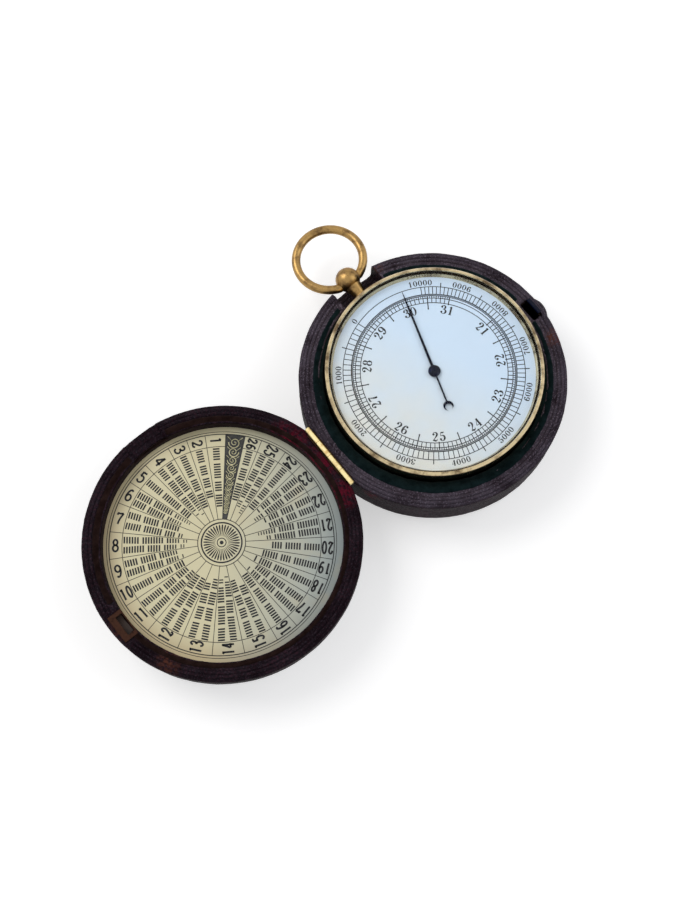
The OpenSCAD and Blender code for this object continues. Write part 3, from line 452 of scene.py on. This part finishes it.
def curve_through(points, closed):
    """Points along a smooth curve through (x, y, width) points."""
    count, steps = len(points), 5
    pick = (lambda i: points[i % count]) if closed else (lambda i: points[min(max(i, 0), count - 1)])
    line = []
    for i in range(count if closed else count - 1):
        a, b, c, d = (np.array(pick(i + k), float) for k in (-1, 0, 1, 2))
        for step in range(steps):
            t = step / steps
            line.append(0.5 * (2 * b + (c - a) * t + (2 * a - 5 * b + 4 * c - d) * t * t
                               + (3 * b - a - 3 * c + d) * t ** 3))
    if not closed:
        line.append(np.array(points[-1], float))
    return line


def polar(radius, angle):
    return radius * math.cos(math.radians(angle)), radius * math.sin(math.radians(angle))


def rays(start, end, count, last=True):
    """Rows of unit (x, y) directions at even angles in degrees, with or without the last."""
    angles = np.radians(np.linspace(start, end, count, endpoint=last))
    return np.stack([np.cos(angles), np.sin(angles)], 1)


class Print:
    """Flat strokes on a plate, in millimetres from its centre, made into one piece."""
    thick = 0.012
    sunk = 0.004
    round_points, dot_points = 288, 20

    def __init__(self, centre, top, lift=0.0):
        self.centre, self.top = centre / MM, top / MM + lift
        self.points, self.faces = [], []

    def band(self, left, right, closed=False):
        """A closed strip between two rows of points."""
        count, first = len(left), len(self.points)
        rows = ((left, self.top + self.thick), (right, self.top + self.thick),
                (right, self.top - self.sunk), (left, self.top - self.sunk))
        for row, height in rows:
            self.points += [(self.centre.x + x, self.centre.y + y, height) for x, y in row]
        at = lambda row, i: first + row * count + i % count
        for i in range(count if closed else count - 1):
            for row in range(4):
                self.faces.append((at(row, i), at((row + 1) % 4, i), at((row + 1) % 4, i + 1), at(row, i + 1)))
        if not closed:
            self.faces.append(tuple(at(row, 0) for row in range(4)))
            self.faces.append(tuple(at(row, count - 1) for row in reversed(range(4))))

    def stroke(self, line, closed=False):
        """A stroke along (x, y, width) points."""
        line = np.array(line, float)
        middle = line[:, :2]
        if closed:
            along = np.roll(middle, -1, 0) - np.roll(middle, 1, 0)
        else:
            along = np.gradient(middle, axis=0)
        along /= np.maximum(np.linalg.norm(along, axis=1), 1e-9)[:, None]
        side = np.stack([-along[:, 1], along[:, 0]], 1) * line[:, 2:3] / 2
        self.band(middle + side, middle - side, closed)

    def circle(self, radius, width):
        way = rays(0, 360, self.round_points, last=False)
        self.band(way * (radius - width / 2), way * (radius + width / 2), True)

    def dot(self, x, y, radius):
        way = rays(0, 360, self.dot_points, last=False)
        self.band(way * radius * 0.02 + (x, y), way * radius + (x, y), True)

    def ray(self, inner, outer, angle, width):
        self.stroke([(*polar(inner, angle), width), (*polar(outer, angle), width)])

    def figure(self, digit, middle, along, height, width, pen, plain=False):
        """One digit, centred on middle, reading along a direction. A plain one has no serifs or balls."""
        along = np.array(along, float) / np.linalg.norm(along)
        up = np.array([-along[1], along[0]])
        place = lambda x, y: (np.array(middle) + along * (x - DIGIT_WIDTH / 2) / DIGIT_WIDTH * width
                              + up * (y - 0.5) * height)
        for kind, points in DIGITS[digit]:
            if kind == "ball":
                if not plain:
                    for x, y, size in points:
                        self.dot(*place(x, y), size * pen)
                continue
            if plain and kind == "serif":
                continue
            line = curve_through(points, kind == "loop")
            self.stroke([(*place(x, y), (1.0 if plain else k) * pen) for x, y, k in line], kind == "loop")

    def number(self, text, radius, angle, height, pitch, pen, outward=True):
        """A number on an arc, with the digits' tops outward or inward."""
        turn = -1 if outward else 1
        for i, digit in enumerate(text):
            here = math.radians(angle) + turn * (i - (len(text) - 1) / 2) * pitch / radius
            middle = (radius * math.cos(here), radius * math.sin(here))
            along = np.array([-math.sin(here), math.cos(here)]) * turn
            self.figure(digit, middle, along, height, pitch * 0.8, pen)

    def mesh(self, name):
        made = bpy.data.meshes.new(name)
        made.from_pydata([(x * MM, y * MM, z * MM) for x, y, z in self.points], [], self.faces)
        solid = bmesh.new()
        solid.from_mesh(made)
        bmesh.ops.recalc_face_normals(solid, faces=solid.faces)
        solid.to_mesh(made)
        solid.free()
        return made


def oval(x, y, wide, high):
    """A loop for a digit, thick at its sides and thin at its top and bottom."""
    points = 14
    turns = [2 * math.pi * i / points for i in range(points)]
    return [(x + wide * math.cos(a), y + high * math.sin(a), 0.3 + 0.7 * abs(math.cos(a)) ** 1.5) for a in turns]


# The digits' strokes are (x, y, width) points on a field 1 high, and their balls (x, y, radius).
DIGIT_WIDTH = 0.6
SIX_TOP = [(0.46, 0.86, 0.3), (0.36, 0.96, 0.3), (0.22, 0.88, 0.6), (0.11, 0.62, 1.0), (0.09, 0.34, 0.9)]
DIGITS = {
    "0": [("loop", oval(0.3, 0.5, 0.22, 0.47))],
    "1": [("line", [(0.3, 0.02, 1), (0.3, 0.5, 1), (0.3, 0.97, 1)]),
          ("serif", [(0.13, 0.03, 0.3), (0.3, 0.03, 0.3), (0.47, 0.03, 0.3)]),
          ("line", [(0.3, 0.95, 0.5), (0.22, 0.88, 0.4), (0.13, 0.82, 0.3)])],
    "2": [("line", [(0.1, 0.72, 0.3), (0.15, 0.9, 0.35), (0.3, 0.97, 0.4), (0.46, 0.87, 0.9), (0.49, 0.7, 1),
                    (0.4, 0.5, 0.7), (0.22, 0.24, 0.35), (0.08, 0.05, 0.3)]),
          ("line", [(0.08, 0.06, 0.3), (0.2, 0.1, 0.8), (0.36, 0.05, 0.95), (0.49, 0.09, 0.5), (0.54, 0.24, 0.25)]),
          ("ball", [(0.14, 0.74, 0.62)])],
    "3": [("line", [(0.1, 0.78, 0.3), (0.16, 0.92, 0.35), (0.3, 0.97, 0.4), (0.45, 0.87, 0.9), (0.45, 0.69, 0.9),
                    (0.36, 0.57, 0.5), (0.22, 0.53, 0.3)]),
          ("line", [(0.22, 0.53, 0.3), (0.4, 0.51, 0.5), (0.53, 0.37, 1), (0.52, 0.18, 1), (0.36, 0.03, 0.4),
                    (0.18, 0.05, 0.35), (0.08, 0.2, 0.3)]),
          ("ball", [(0.13, 0.79, 0.6), (0.11, 0.2, 0.6)])],
    "4": [("line", [(0.42, 0.02, 1), (0.42, 0.5, 1), (0.42, 0.96, 1)]),
          ("line", [(0.42, 0.95, 0.35), (0.24, 0.62, 0.3), (0.05, 0.29, 0.3)]),
          ("line", [(0.05, 0.29, 0.35), (0.3, 0.29, 0.35), (0.57, 0.29, 0.35)]),
          ("serif", [(0.28, 0.03, 0.3), (0.42, 0.03, 0.3), (0.56, 0.03, 0.3)])],
    "5": [("line", [(0.15, 0.94, 0.4), (0.3, 0.91, 0.85), (0.48, 0.95, 0.5)]),
          ("line", [(0.15, 0.95, 0.3), (0.14, 0.75, 0.3), (0.13, 0.53, 0.3)]),
          ("line", [(0.13, 0.53, 0.3), (0.28, 0.61, 0.4), (0.46, 0.53, 0.85), (0.52, 0.32, 1), (0.45, 0.12, 0.8),
                    (0.28, 0.03, 0.4), (0.12, 0.08, 0.35), (0.08, 0.2, 0.3)]),
          ("ball", [(0.12, 0.2, 0.6)])],
    "6": [("line", SIX_TOP), ("loop", oval(0.31, 0.29, 0.21, 0.26)), ("ball", [(0.44, 0.85, 0.6)])],
    "7": [("line", [(0.08, 0.76, 0.3), (0.1, 0.92, 0.4), (0.24, 0.9, 0.9), (0.4, 0.93, 0.8), (0.54, 0.95, 0.4)]),
          ("line", [(0.54, 0.95, 0.35), (0.42, 0.68, 0.45), (0.31, 0.35, 0.9), (0.28, 0.03, 1.1)])],
    "8": [("loop", oval(0.3, 0.74, 0.17, 0.22)), ("loop", oval(0.3, 0.27, 0.21, 0.25))],
    "9": [("line", [(DIGIT_WIDTH - x, 1 - y, k) for x, y, k in SIX_TOP]),
          ("loop", oval(0.29, 0.71, 0.21, 0.26)), ("ball", [(0.16, 0.15, 0.6)])],
}


def middle_of(node):
    low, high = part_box(node)
    return (low + high) / 2


def radius_of(node):
    low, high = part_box(node)
    return (high.y - low.y) / 2


def background_rays(tree):
    """1 for the rays that show the background: the camera's, reflections' and those through glass."""
    rays = tree.nodes.new("ShaderNodeLightPath").outputs
    share = rays["Is Camera Ray"]
    for name in ("Is Glossy Ray", "Is Transmission Ray"):
        either = tree.nodes.new("ShaderNodeMath")
        either.operation = "MAXIMUM"
        tree.links.new(share, either.inputs[0])
        tree.links.new(rays[name], either.inputs[1])
        share = either.outputs[0]
    return share


class BAROMETER_OT_stage(bpy.types.Operator):
    """Makes the camera, the lamps, the world and the pale floor"""
    bl_idname = "barometer.stage"
    bl_label = "Stage"
    bl_options = {"REGISTER", "UNDO"}
    camera_place = (-0.07341, -0.0577, 0.28554)
    camera_right = (0.78035, -0.625343, 0.000729)
    camera_down = (-0.603217, -0.753045, -0.262779)
    camera_ahead = (0.164876, 0.204619, -0.964856)
    lit_point = (-0.02, 0, 0.01)
    # The world's grey at heights from 0 at the horizon to 1 straight above, and its strength as light
    sky = ((0.0, 0.2), (0.6, 1.0), (0.97, 0.12))
    sky_strength = 0.75
    floor_half = 3.0
    floor_glow = 0.5

    def execute(self, context):
        scene = context.scene
        looks = scene.barometer_stage
        camera = bpy.data.objects.new("Camera", bpy.data.cameras.new("Camera"))
        scene.collection.objects.link(camera)
        camera.data.sensor_fit, camera.data.sensor_height, camera.data.lens = "VERTICAL", 36, looks.lens
        camera.data.clip_start = 0.01
        right, down, ahead = (Vector(way) for way in (self.camera_right, self.camera_down, self.camera_ahead))
        turned = Matrix((right, -down, -ahead)).transposed().to_quaternion()
        camera.matrix_world = Matrix.LocRotScale(Vector(self.camera_place), turned, None)
        scene.camera = camera
        self.lamp(scene, "Key lamp", (-0.22, 0.5, 0.55), 0.5, looks.key_power, (1.0, 0.985, 0.96))
        self.lamp(scene, "Fill lamp", (0.5, -0.25, 0.45), 0.6, looks.fill_power, (0.93, 0.96, 1.0))
        self.world(scene)
        self.floor(scene, looks)
        return {"FINISHED"}

    def lamp(self, scene, name, place, size, power, colour):
        """A round lamp that faces the barometer."""
        lamp = bpy.data.lights.new(name, "AREA")
        lamp.shape, lamp.size, lamp.energy, lamp.color = "DISK", size, power, colour
        holder = bpy.data.objects.new(name, lamp)
        holder.location = place
        aim = Vector(self.lit_point) - Vector(place)
        holder.rotation_euler = aim.to_track_quat("-Z", "Y").to_euler()
        scene.collection.objects.link(holder)

    def world(self, scene):
        """White as background. As light it is brightest part of the way up, and dim low down and straight above."""
        scene.world = bpy.data.worlds.new("Studio")
        scene.world.use_nodes = True
        tree = scene.world.node_tree
        back = tree.nodes["Background"]
        way = tree.nodes.new("ShaderNodeSeparateXYZ")
        tree.links.new(tree.nodes.new("ShaderNodeTexCoord").outputs["Generated"], way.inputs[0])
        shade = tree.nodes.new("ShaderNodeValToRGB")
        shade.color_ramp.elements.new(0.6)
        for stop, (height, grey) in zip(shade.color_ramp.elements, self.sky):
            stop.position, stop.color = height, (grey, grey, grey * 1.02, 1)
        tree.links.new(way.outputs["Z"], shade.inputs[0])
        tree.links.new(shade.outputs[0], back.inputs["Color"])
        back.inputs["Strength"].default_value = self.sky_strength
        white = tree.nodes.new("ShaderNodeBackground")
        white.inputs["Color"].default_value = (1, 1, 1, 1)
        both = tree.nodes.new("ShaderNodeMixShader")
        for socket, value in zip(both.inputs, (background_rays(tree), back.outputs[0], white.outputs[0])):
            tree.links.new(value, socket)
        tree.links.new(both.outputs[0], tree.nodes["World Output"].inputs["Surface"])
        scene.view_settings.view_transform = "Standard"

    def floor(self, scene, looks):
        """Pale paper that glows as background and takes the barometer's shadow."""
        mesh = bpy.data.meshes.new("Floor")
        half = self.floor_half
        mesh.from_pydata([(-half, -half, 0), (half, -half, 0), (half, half, 0), (-half, half, 0)], [], [(0, 1, 2, 3)])
        floor = bpy.data.objects.new("Floor", mesh)
        scene.collection.objects.link(floor)
        paper = Finish("Pale floor", looks.floor, Roughness=0.9, Specular_IOR_Level=0.1)
        glow = paper.node("ShaderNodeEmission", {"Color": (1, 1, 1), "Strength": self.floor_glow})
        none = paper.node("ShaderNodeEmission", {"Color": (0, 0, 0), "Strength": 0.0})
        seen = background_rays(paper.tree)
        lit = paper.node("ShaderNodeMixShader", {0: seen, 1: none.outputs[0], 2: glow.outputs[0]})
        both = paper.node("ShaderNodeAddShader", {0: paper.main.outputs[0], 1: lit.outputs[0]})
        paper.put(paper.tree.nodes["Material Output"].inputs["Surface"], both.outputs[0])
        mesh.materials.append(paper.material)


class BAROMETER_OT_leather(bpy.types.Operator):
    """Makes the grained leather of both halves and of the push-button"""
    bl_idname = "barometer.leather"
    bl_label = "Leather"
    bl_options = {"REGISTER", "UNDO"}
    waves = ((2.6, 0.05), (0.9, 0.022))
    most_faces = 150_000
    quick_voxels = 1.8

    def execute(self, context):
        looks = context.scene.barometer_case
        hinge, latch, striker = (middle_of(node) for node in ("hinge_pin", "latch", "striker_plate"))
        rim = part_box("base_band_leather")[1].z
        base = leather_finish(
            "Base leather", looks, looks.base_bloom, middle_of("base_bottom_leather"), radius_of("base_band_leather"),
            rubbed=[(latch + Vector((2, -9, 5)) * MM, 4 * MM), (hinge + Vector((1.5, -12, -3)) * MM, 3 * MM)],
            dry=[(Vector((26.3 * MM, -9.4 * MM, rim)), 3 * MM), (Vector((6.5 * MM, 27.5 * MM, rim)), 2 * MM)])
        lid = leather_finish(
            "Lid leather", looks, looks.lid_bloom, middle_of("lid_top_leather"), radius_of("lid_band_leather"),
            rubbed=[(hinge + Vector((-4.5, 8.5, 0)) * MM, 6 * MM), (hinge + Vector((-2.5, 0, 0)) * MM, 6 * MM),
                    (hinge + Vector((-3, -8, 0)) * MM, 5 * MM)],
            dry=[(striker, 4 * MM), (striker + Vector((3, -12, 0)) * MM, 4 * MM)])
        coarser = 1
        for node, body, skin, voxel in (
                ("base_band_leather", "base", base, 0.15), ("lid_band_leather", "lid", lid, 0.15),
                ("base_bottom_leather", "base", base, 0.3), ("lid_top_leather", "lid", lid, 0.3),
                ("button_leather", "button", base, 0.12)):
            mesh = softened(node, voxel * coarser, self.waves, self.most_faces)
            link(node.replace("_leather", "_skin"), mesh, body, skin, (node,))
        return {"FINISHED"}


class BAROMETER_OT_velvet(bpy.types.Operator):
    """Makes the velvet linings of both halves"""
    bl_idname = "barometer.velvet"
    bl_label = "Velvet linings"
    bl_options = {"REGISTER", "UNDO"}
    # Rolled edges as (outwards, upwards) points from the lining's outer top edge, and the degrees that they span
    base_roll = ((-0.5, -0.5), (-0.5, 0.1), (-0.25, 0.4), (0.3, 0.8), (0.8, 0.92), (1.1, 0.66), (0.8, 0.5), (0, -0.5))
    base_spans = ((104, 351), (4.5, 76))
    lid_roll = ((-0.5, -0.3), (-0.46, 0.4), (-0.2, 0.75), (0.3, 0.95), (0.8, 0.92), (1.05, 0.66), (0.8, 0.5), (0, -0.3))
    lid_spans = ((100, 172), (188, 440))
    waves = ((1.8, 0.1), (0.6, 0.06))
    most_faces = 120_000
    bezel_room = 0.3
    calm_height = 0.8

    def execute(self, context):
        looks = context.scene.barometer_case
        linings = (("base_velvet", "base", "velvet_green", looks.velvet_base),
                   ("lid_velvet", "lid", "velvet_brown", looks.velvet_lid))
        for node, body, slot, colour in linings:
            low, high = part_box(node)
            across, deep = high.y - low.y, high.z - low.z
            out, top = across / 2 / MM, high.z / MM
            if node == "base_velvet":
                dial = (middle_of("bezel") - middle_of(node)) / MM
                clear = radius_of("bezel") / MM + self.bezel_room - (out + self.base_roll[0][0])
                shifts = lambda angle: (clear + dial.x * math.cos(angle) + dial.y * math.sin(angle), 0.1)
                rolled, spans = self.base_roll, self.base_spans
            else:
                shifts = lambda angle: (0, 0.05 + 0.35 * math.cos(angle - math.radians(110)))
                rolled, spans = self.lid_roll, self.lid_spans
            profile = [(out + further, top + higher) for further, higher in rolled]
            edges = [(middle_of(node), profile, start, end, shifts) for start, end in spans]
            mesh = softened(node, 0.2, self.waves, self.most_faces, edges,
                            low.z + self.calm_height * MM)
            finish = velvet_finish(node.replace("_", " "), tuple(colour))
            pile = link(node + "_lining", mesh, body, finish, (node,))
        return {"FINISHED"}


class BAROMETER_OT_shells(bpy.types.Operator):
    """Gives the wooden shells and the card behind the disc their finish"""
    bl_idname = "barometer.shells"
    bl_label = "Wooden shells"
    bl_options = {"REGISTER", "UNDO"}

    def execute(self, context):
        dress(wood_finish("Stained wood", tuple(context.scene.barometer_case.wood)), "base_board", "lid_board")
        dress(card_finish("Backing card"), "disc_card")
        return {"FINISHED"}


class BAROMETER_OT_metals(bpy.types.Operator):
    """Gives the bezel, cup, pendant, bow, hinge, catch and movement their finish"""
    bl_idname = "barometer.metals"
    bl_label = "Metal parts"
    bl_options = {"REGISTER", "UNDO"}
    barrel_tarnish = srgb(196, 160, 96)
    browned_leaf = srgb(58, 42, 28)

    def execute(self, context):
        looks = context.scene.barometer_metal
        gilt = metal_finish("Gilt brass", tuple(looks.gilt), tuple(looks.gilt_worn), 0.17, 4.0, 0.65, 0.002)
        aged = metal_finish("Aged brass", tuple(looks.bow), tuple(looks.bow_dark), 0.3, 2.2, 0.6, 0.015)
        pale = self.hinge_finish(tuple(looks.hinge))
        steel = metal_finish("Steel", tuple(looks.steel), srgb(104, 104, 110), 0.3, 1.5, 0.4)
        blued = metal_finish("Blued steel", tuple(looks.blued), srgb(22, 24, 34), 0.26, 1.2, 0.4)
        nickel = metal_finish("Nickel silver", srgb(200, 196, 184), srgb(160, 152, 136), 0.3, 2.5, 0.4)
        bright = metal_finish("Bright brass", srgb(222, 184, 104), srgb(182, 140, 70), 0.22, 3.0, 0.35)
        dress(gilt, "bezel", "instrument_cup")
        dress(aged, "pendant", "bow_ring")
        browned = metal_finish("Browned brass", tuple(looks.striker), srgb(34, 22, 18), 0.5, 1.2, 0.5)
        dress(browned, "striker_plate", "striker_pins")
        dress(pale, "hinge_leaf_base", "hinge_leaf_lid", "hinge_pin", "hinge_rivets_base", "hinge_rivets_lid")
        dress(steel, "latch_pin", "cup_screws", "bracket_screws", "spring_pivot_pin", "main_lever", "lever_screw",
              "link_rod", "rocking_shaft", "standard_screws", "bridge_screws", "arbor", "adjusting_screw")
        dress(blued, "latch", "hand", "hand_boss", "mainspring", "hairspring")
        dress(nickel, "aneroid_capsule")
        dress(bright, "push_button", "dial_feet", "movement_plate", "spring_bracket", "capsule_post",
              "post_nut", "compensating_strip", "rocker_standards", "arbor_bridge", "hairspring_stud", "chain")
        dress(glass_finish("Clear glass"), "glass")
        return {"FINISHED"}

    def hinge_finish(self, bright):
        """Brass that is bright on the barrel and dark brown on the leaves beside it."""
        brass = Finish("Hinge brass", bright, Metallic=1.0)
        pin = middle_of("hinge_pin")
        reach = Vector((0.5 * MM, 0, 0))
        step = Vector((0.12 * MM, 0, 0))
        # Leaves darker than the barrel, beyond half a millimetre from the pin
        sides = brass.math("MAXIMUM", brass.across(pin + reach, pin + reach + step),
                           brass.across(pin - reach, pin - reach - step))
        tarnish = brass.noise(1.6 * MM, 4, 0.6)
        colour = brass.mix(brass.spread(tarnish, 0.5, 0.75), bright, self.barrel_tarnish)
        brass.feed("Base Color", brass.mix(sides, colour, self.browned_leaf))
        brass.feed("Roughness", brass.spread(tarnish, 0.3, 0.7, 0.2, 0.36))
        return brass.bump((tarnish, 0.01 * MM))


class BAROMETER_OT_dial(bpy.types.Operator):
    """Prints the pressure scale on the silvered dial"""
    bl_idname = "barometer.dial"
    bl_label = "Dial"
    bl_options = {"REGISTER", "UNDO"}
    # Radii in millimetres, and the scale in inches of mercury, of which thirty stands at an angle in degrees
    track = (16.16, 17.25, 17.8)
    half_inch_from = 14.6
    inch_from = 15.91
    numbers_at = 14.75
    low, high = 21, 31
    per_inch = 20
    thirty_at, inch_step = 71.5, 32.5

    def angle(self, inches):
        return self.thirty_at - self.inch_step * (inches - 30)

    def execute(self, context):
        looks = context.scene.barometer_dial
        centre, top = middle_of("dial_plate"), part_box("dial_plate")[1].z
        silver = silver_finish("Silvered plate", looks, centre, radius_of("altitude_ring"))
        dress(silver, "dial_plate", "altitude_ring")
        ink = Print(centre, top)
        line = looks.line / MM
        inner, middle, outer = self.track
        for radius in self.track:
            ink.circle(radius, line)
        for tick in range((self.high - self.low) * self.per_inch + 1):
            angle = self.angle(self.low + tick / self.per_inch)
            if tick % self.per_inch == 0:
                ink.ray(self.inch_from, outer, angle, line * 1.3)
            elif tick % (self.per_inch // 2) == 0:
                ink.ray(self.half_inch_from, outer, angle, line * 1.3)
                ink.dot(*polar(self.half_inch_from + 0.12, angle), 0.17)
            elif tick % 2 == 0:
                ink.ray(inner, outer, angle, line)
            else:
                ink.ray(middle, outer, angle, line * 0.8)
        for inches in range(self.low, self.high + 1):
            ink.number(str(inches), self.numbers_at, self.angle(inches), looks.inch_number / MM, 1.6, 0.4,
                       outward=not 22 <= inches <= 26)
        link("pressure_scale", ink.mesh("pressure_scale"), "base",
             ink_finish("Dial ink", tuple(looks.ink)))
        return {"FINISHED"}


class BAROMETER_OT_altitude(bpy.types.Operator):
    """Prints the altitude scale on the revolving ring"""
    bl_idname = "barometer.altitude"
    bl_label = "Altitude ring"
    bl_options = {"REGISTER", "UNDO"}
    inner, outer, long_tick = 18.15, 19.95, 20.85
    numbers_at = 20.95
    thousands = 10

    def angle(self, feet):
        """The scale closes up with height, as the air thins."""
        height = feet / 1000
        return 107.3 + 37.1 * height - 0.594 * height * height

    def execute(self, context):
        looks = context.scene.barometer_dial
        ink = Print(middle_of("altitude_ring"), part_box("altitude_ring")[1].z)
        line = looks.line / MM
        ink.circle(self.outer, line)
        ink.circle(self.inner, line)
        for hundred in range(self.thousands * 10 + 1):
            angle = self.angle(hundred * 100)
            ink.ray(self.inner, self.outer, angle, line)
            if hundred % 5 == 0 and hundred % 10:
                ink.ray(self.outer, self.long_tick, angle, line * 1.2)
                ink.dot(*polar(self.long_tick, angle), 0.12)
        for thousand in range(self.thousands + 1):
            feet = thousand * 1000
            ink.number(str(feet), self.numbers_at, self.angle(feet), looks.feet_number / MM, 1.1, 0.28,
                       outward=not 4 <= thousand <= 9)
        link("altitude_scale", ink.mesh("altitude_scale"), "bezel_group",
             ink_finish("Ring ink", tuple(looks.ink)))
        return {"FINISHED"}


class BAROMETER_OT_disc(bpy.types.Operator):
    """Prints the forecaster disc: numbered sectors, plain graduated rows, a scroll and a rosette"""
    bl_idname = "barometer.disc"
    bl_label = "Forecaster disc"
    bl_options = {"REGISTER", "UNDO"}
    # The lines between the sectors, in steps clockwise from the angle zero
    edges = (11, 60, 105, 152, 222, 272, 345, 413, 487, 560, 630, 678, 737, 797, 862, 913, 962, 1023, 1066, 1107,
             1152, 1195, 1232, 1290, 1335, 1393, 1455)
    steps_round, zero = 1500, 327.0
    scroll_sector = 20
    # Radii in millimetres, from a centre that the print misses a little
    outside, border, ring, hub, rosette_ring = 24.68, 24.15, 21.36, 5.13, 4.34
    off_centre = (-0.3, 0.2, 0)
    two_rows = 12.0

    def execute(self, context):
        looks = context.scene.barometer_disc
        centre = middle_of("forecaster_disc")
        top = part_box("forecaster_disc")[1].z
        dress(ivory_finish("Ivorine", looks, centre, radius_of("forecaster_disc")), "forecaster_disc")
        printed = centre + Vector(self.off_centre) * MM
        ink = Print(printed, top)
        for radius, width in ((self.outside, 0.13), (self.border, 0.2), (self.ring, 0.14), (self.hub, 0.17),
                              (self.rosette_ring, 0.32)):
            ink.circle(radius, width)
        degrees = [self.zero - edge * 360 / self.steps_round for edge in self.edges]
        for angle in degrees:
            ink.ray(self.hub, self.border, angle, 0.13)
        count = len(degrees)
        for sector in range(count):
            start = degrees[(sector + 1) % count]
            wide = (degrees[sector] - start) % 360
            if sector == self.scroll_sector:
                self.scroll(printed, top, start, wide)
                continue
            rank = (self.scroll_sector - sector) % count
            if rank > looks.sectors:
                continue
            self.sector(ink, str(rank), start + wide / 2, wide, looks.number / MM)
        self.rosette(ink, looks.petals)
        link("disc_print", ink.mesh("disc_print"), "lid", ink_finish("Disc ink", srgb(26, 26, 30)))
        return {"FINISHED"}

    def sector(self, ink, text, angle, wide, height):
        """A sector's number in the border, and its rows below it: two of them where it is wide."""
        out = np.array(polar(1, angle))
        side = np.array([out[1], -out[0]])
        across = math.radians(wide)
        height = min(height, 0.62 * across * self.ring)
        pitch = 1.36 if len(text) > 1 else 2.0
        for i, digit in enumerate(text):
            middle = out * ((self.ring + self.border) / 2 + ((len(text) - 1) / 2 - i) * pitch)
            ink.figure(digit, middle, -out, height, pitch * 0.78, 0.42, plain=True)
        draw = random.Random(int(text))
        for lean in (-1, 1) if wide > self.two_rows else (0,):
            self.graduated(ink, out, side, across / 2, lean, draw)

    def graduated(self, ink, out, side, half, lean, draw):
        """A plain row of graduation marks from the rim towards the hub, in groups that narrow with their sector.
        half is half the sector's angle, and lean the side of the sector that the row keeps to."""
        pitch, tall, width, clear = 0.58, 1.46, 0.35, 0.16
        high, low = self.ring - 0.5, 7.4 + draw.uniform(-0.8, 2.2)
        gap = draw.randint(5, 9)
        for i in range(int((high - low) / pitch)):
            if i and i % gap == 0:
                gap = i + draw.randint(5, 9)
                continue
            reach = high - i * pitch
            room = reach * math.tan(half) - clear
            size = min(tall, room - clear if lean else 2 * room)
            middle = lean * max(clear + size / 2, 0.45 * room)
            foot = out * reach + side * (middle - size / 2)
            head = foot + side * size
            thin = width * min(1, size / 1.1)
            ink.stroke([(*foot, thin), (*head, thin)])

    def scroll(self, centre, top, start, wide):
        """A dark sector with a running scroll in the disc's own colour."""
        way = rays(start, start + wide, 7)
        dark = Print(centre, top, -0.002)
        dark.band(way * (self.hub + 0.1), way * (self.border - 0.1))
        link("scroll_ground", dark.mesh("scroll_ground"), "lid",
             ink_finish("Scroll ink", srgb(52, 52, 50)))
        light = Print(centre, top, 0.006)
        half = math.radians(wide) / 2
        middle = math.radians(start + wide / 2)
        radius, hand, steps = self.border - 0.5, 1, 25
        while radius > self.hub + 1.5:
            size = radius * half * 0.62
            curl = []
            for i in range(steps + 1):
                t = i / steps
                turn = middle + math.pi / 2 * hand + hand * t * 3.4 * math.pi
                reach = size * (1 - 0.86 * t)
                x = (radius - size) * math.cos(middle) + reach * math.cos(turn)
                y = (radius - size) * math.sin(middle) + reach * math.sin(turn)
                curl.append((x, y, 0.1 + 0.1 * (1 - t) * min(1, size)))
            light.stroke(curl)
            light.dot(x, y, 0.13 * min(1, size))
            edge = size * 0.8
            for side in (-1, 1):
                leaf = middle + side * half * 0.78
                light.stroke([((radius - k * edge) * math.cos(leaf - side * half * 0.5 * k),
                               (radius - k * edge) * math.sin(leaf - side * half * 0.5 * k), 0.11 * (1.2 - k))
                              for k in (0, 0.33, 0.66, 1)])
            radius -= size * 1.7
            hand = -hand
        link("scrollwork", light.mesh("scrollwork"), "lid",
             ink_finish("Scroll ivory", srgb(186, 180, 140)))

    def rosette(self, ink, petals):
        """Rays that swell outwards, around a small ring and a dot."""
        for i in range(petals):
            angle = 360 * i / petals
            ink.stroke([(*polar(radius, angle), width) for radius, width in
                        ((1.35, 0.06), (2.1, 0.16), (3.2, 0.34), (3.75, 0.3), (3.95, 0.1))])
        ink.circle(0.95, 0.2)
        ink.dot(0, 0, 0.42)


JOBS = (BAROMETER_OT_stage, BAROMETER_OT_leather, BAROMETER_OT_velvet, BAROMETER_OT_shells, BAROMETER_OT_metals,
        BAROMETER_OT_dial, BAROMETER_OT_altitude, BAROMETER_OT_disc)


class BAROMETER_PT_sidebar(bpy.types.Panel):
    """Lists the steps that build the barometer's looks"""
    bl_idname = "BAROMETER_PT_sidebar"
    bl_label = "Pocket barometer"
    bl_space_type = "VIEW_3D"
    bl_region_type = "UI"
    bl_category = "Barometer"

    def draw(self, context):
        for name in GROUPS:
            looks = getattr(context.scene, name)
            box = self.layout.box()
            for key in looks.__annotations__:
                box.prop(looks, key)
        for job in JOBS:
            self.layout.operator(job.bl_idname)


GROUPS = {"barometer_case": CaseLooks, "barometer_metal": MetalLooks, "barometer_dial": DialLooks,
          "barometer_disc": DiscLooks, "barometer_stage": StageLooks}
CLASSES = (*GROUPS.values(), *JOBS, BAROMETER_PT_sidebar)


def register():
    for made in CLASSES:
        bpy.utils.register_class(made)
    for name, group in GROUPS.items():
        setattr(bpy.types.Scene, name, PointerProperty(type=group))


def unregister():
    for name in GROUPS:
        delattr(bpy.types.Scene, name)
    for made in reversed(CLASSES):
        bpy.utils.unregister_class(made)


def main():
    register()
    bpy.ops.barometer.stage()
    bpy.ops.barometer.leather()
    bpy.ops.barometer.velvet()
    bpy.ops.barometer.shells()
    bpy.ops.barometer.metals()
    bpy.ops.barometer.dial()
    bpy.ops.barometer.altitude()
    bpy.ops.barometer.disc()


if __name__ == "__main__":
    main()
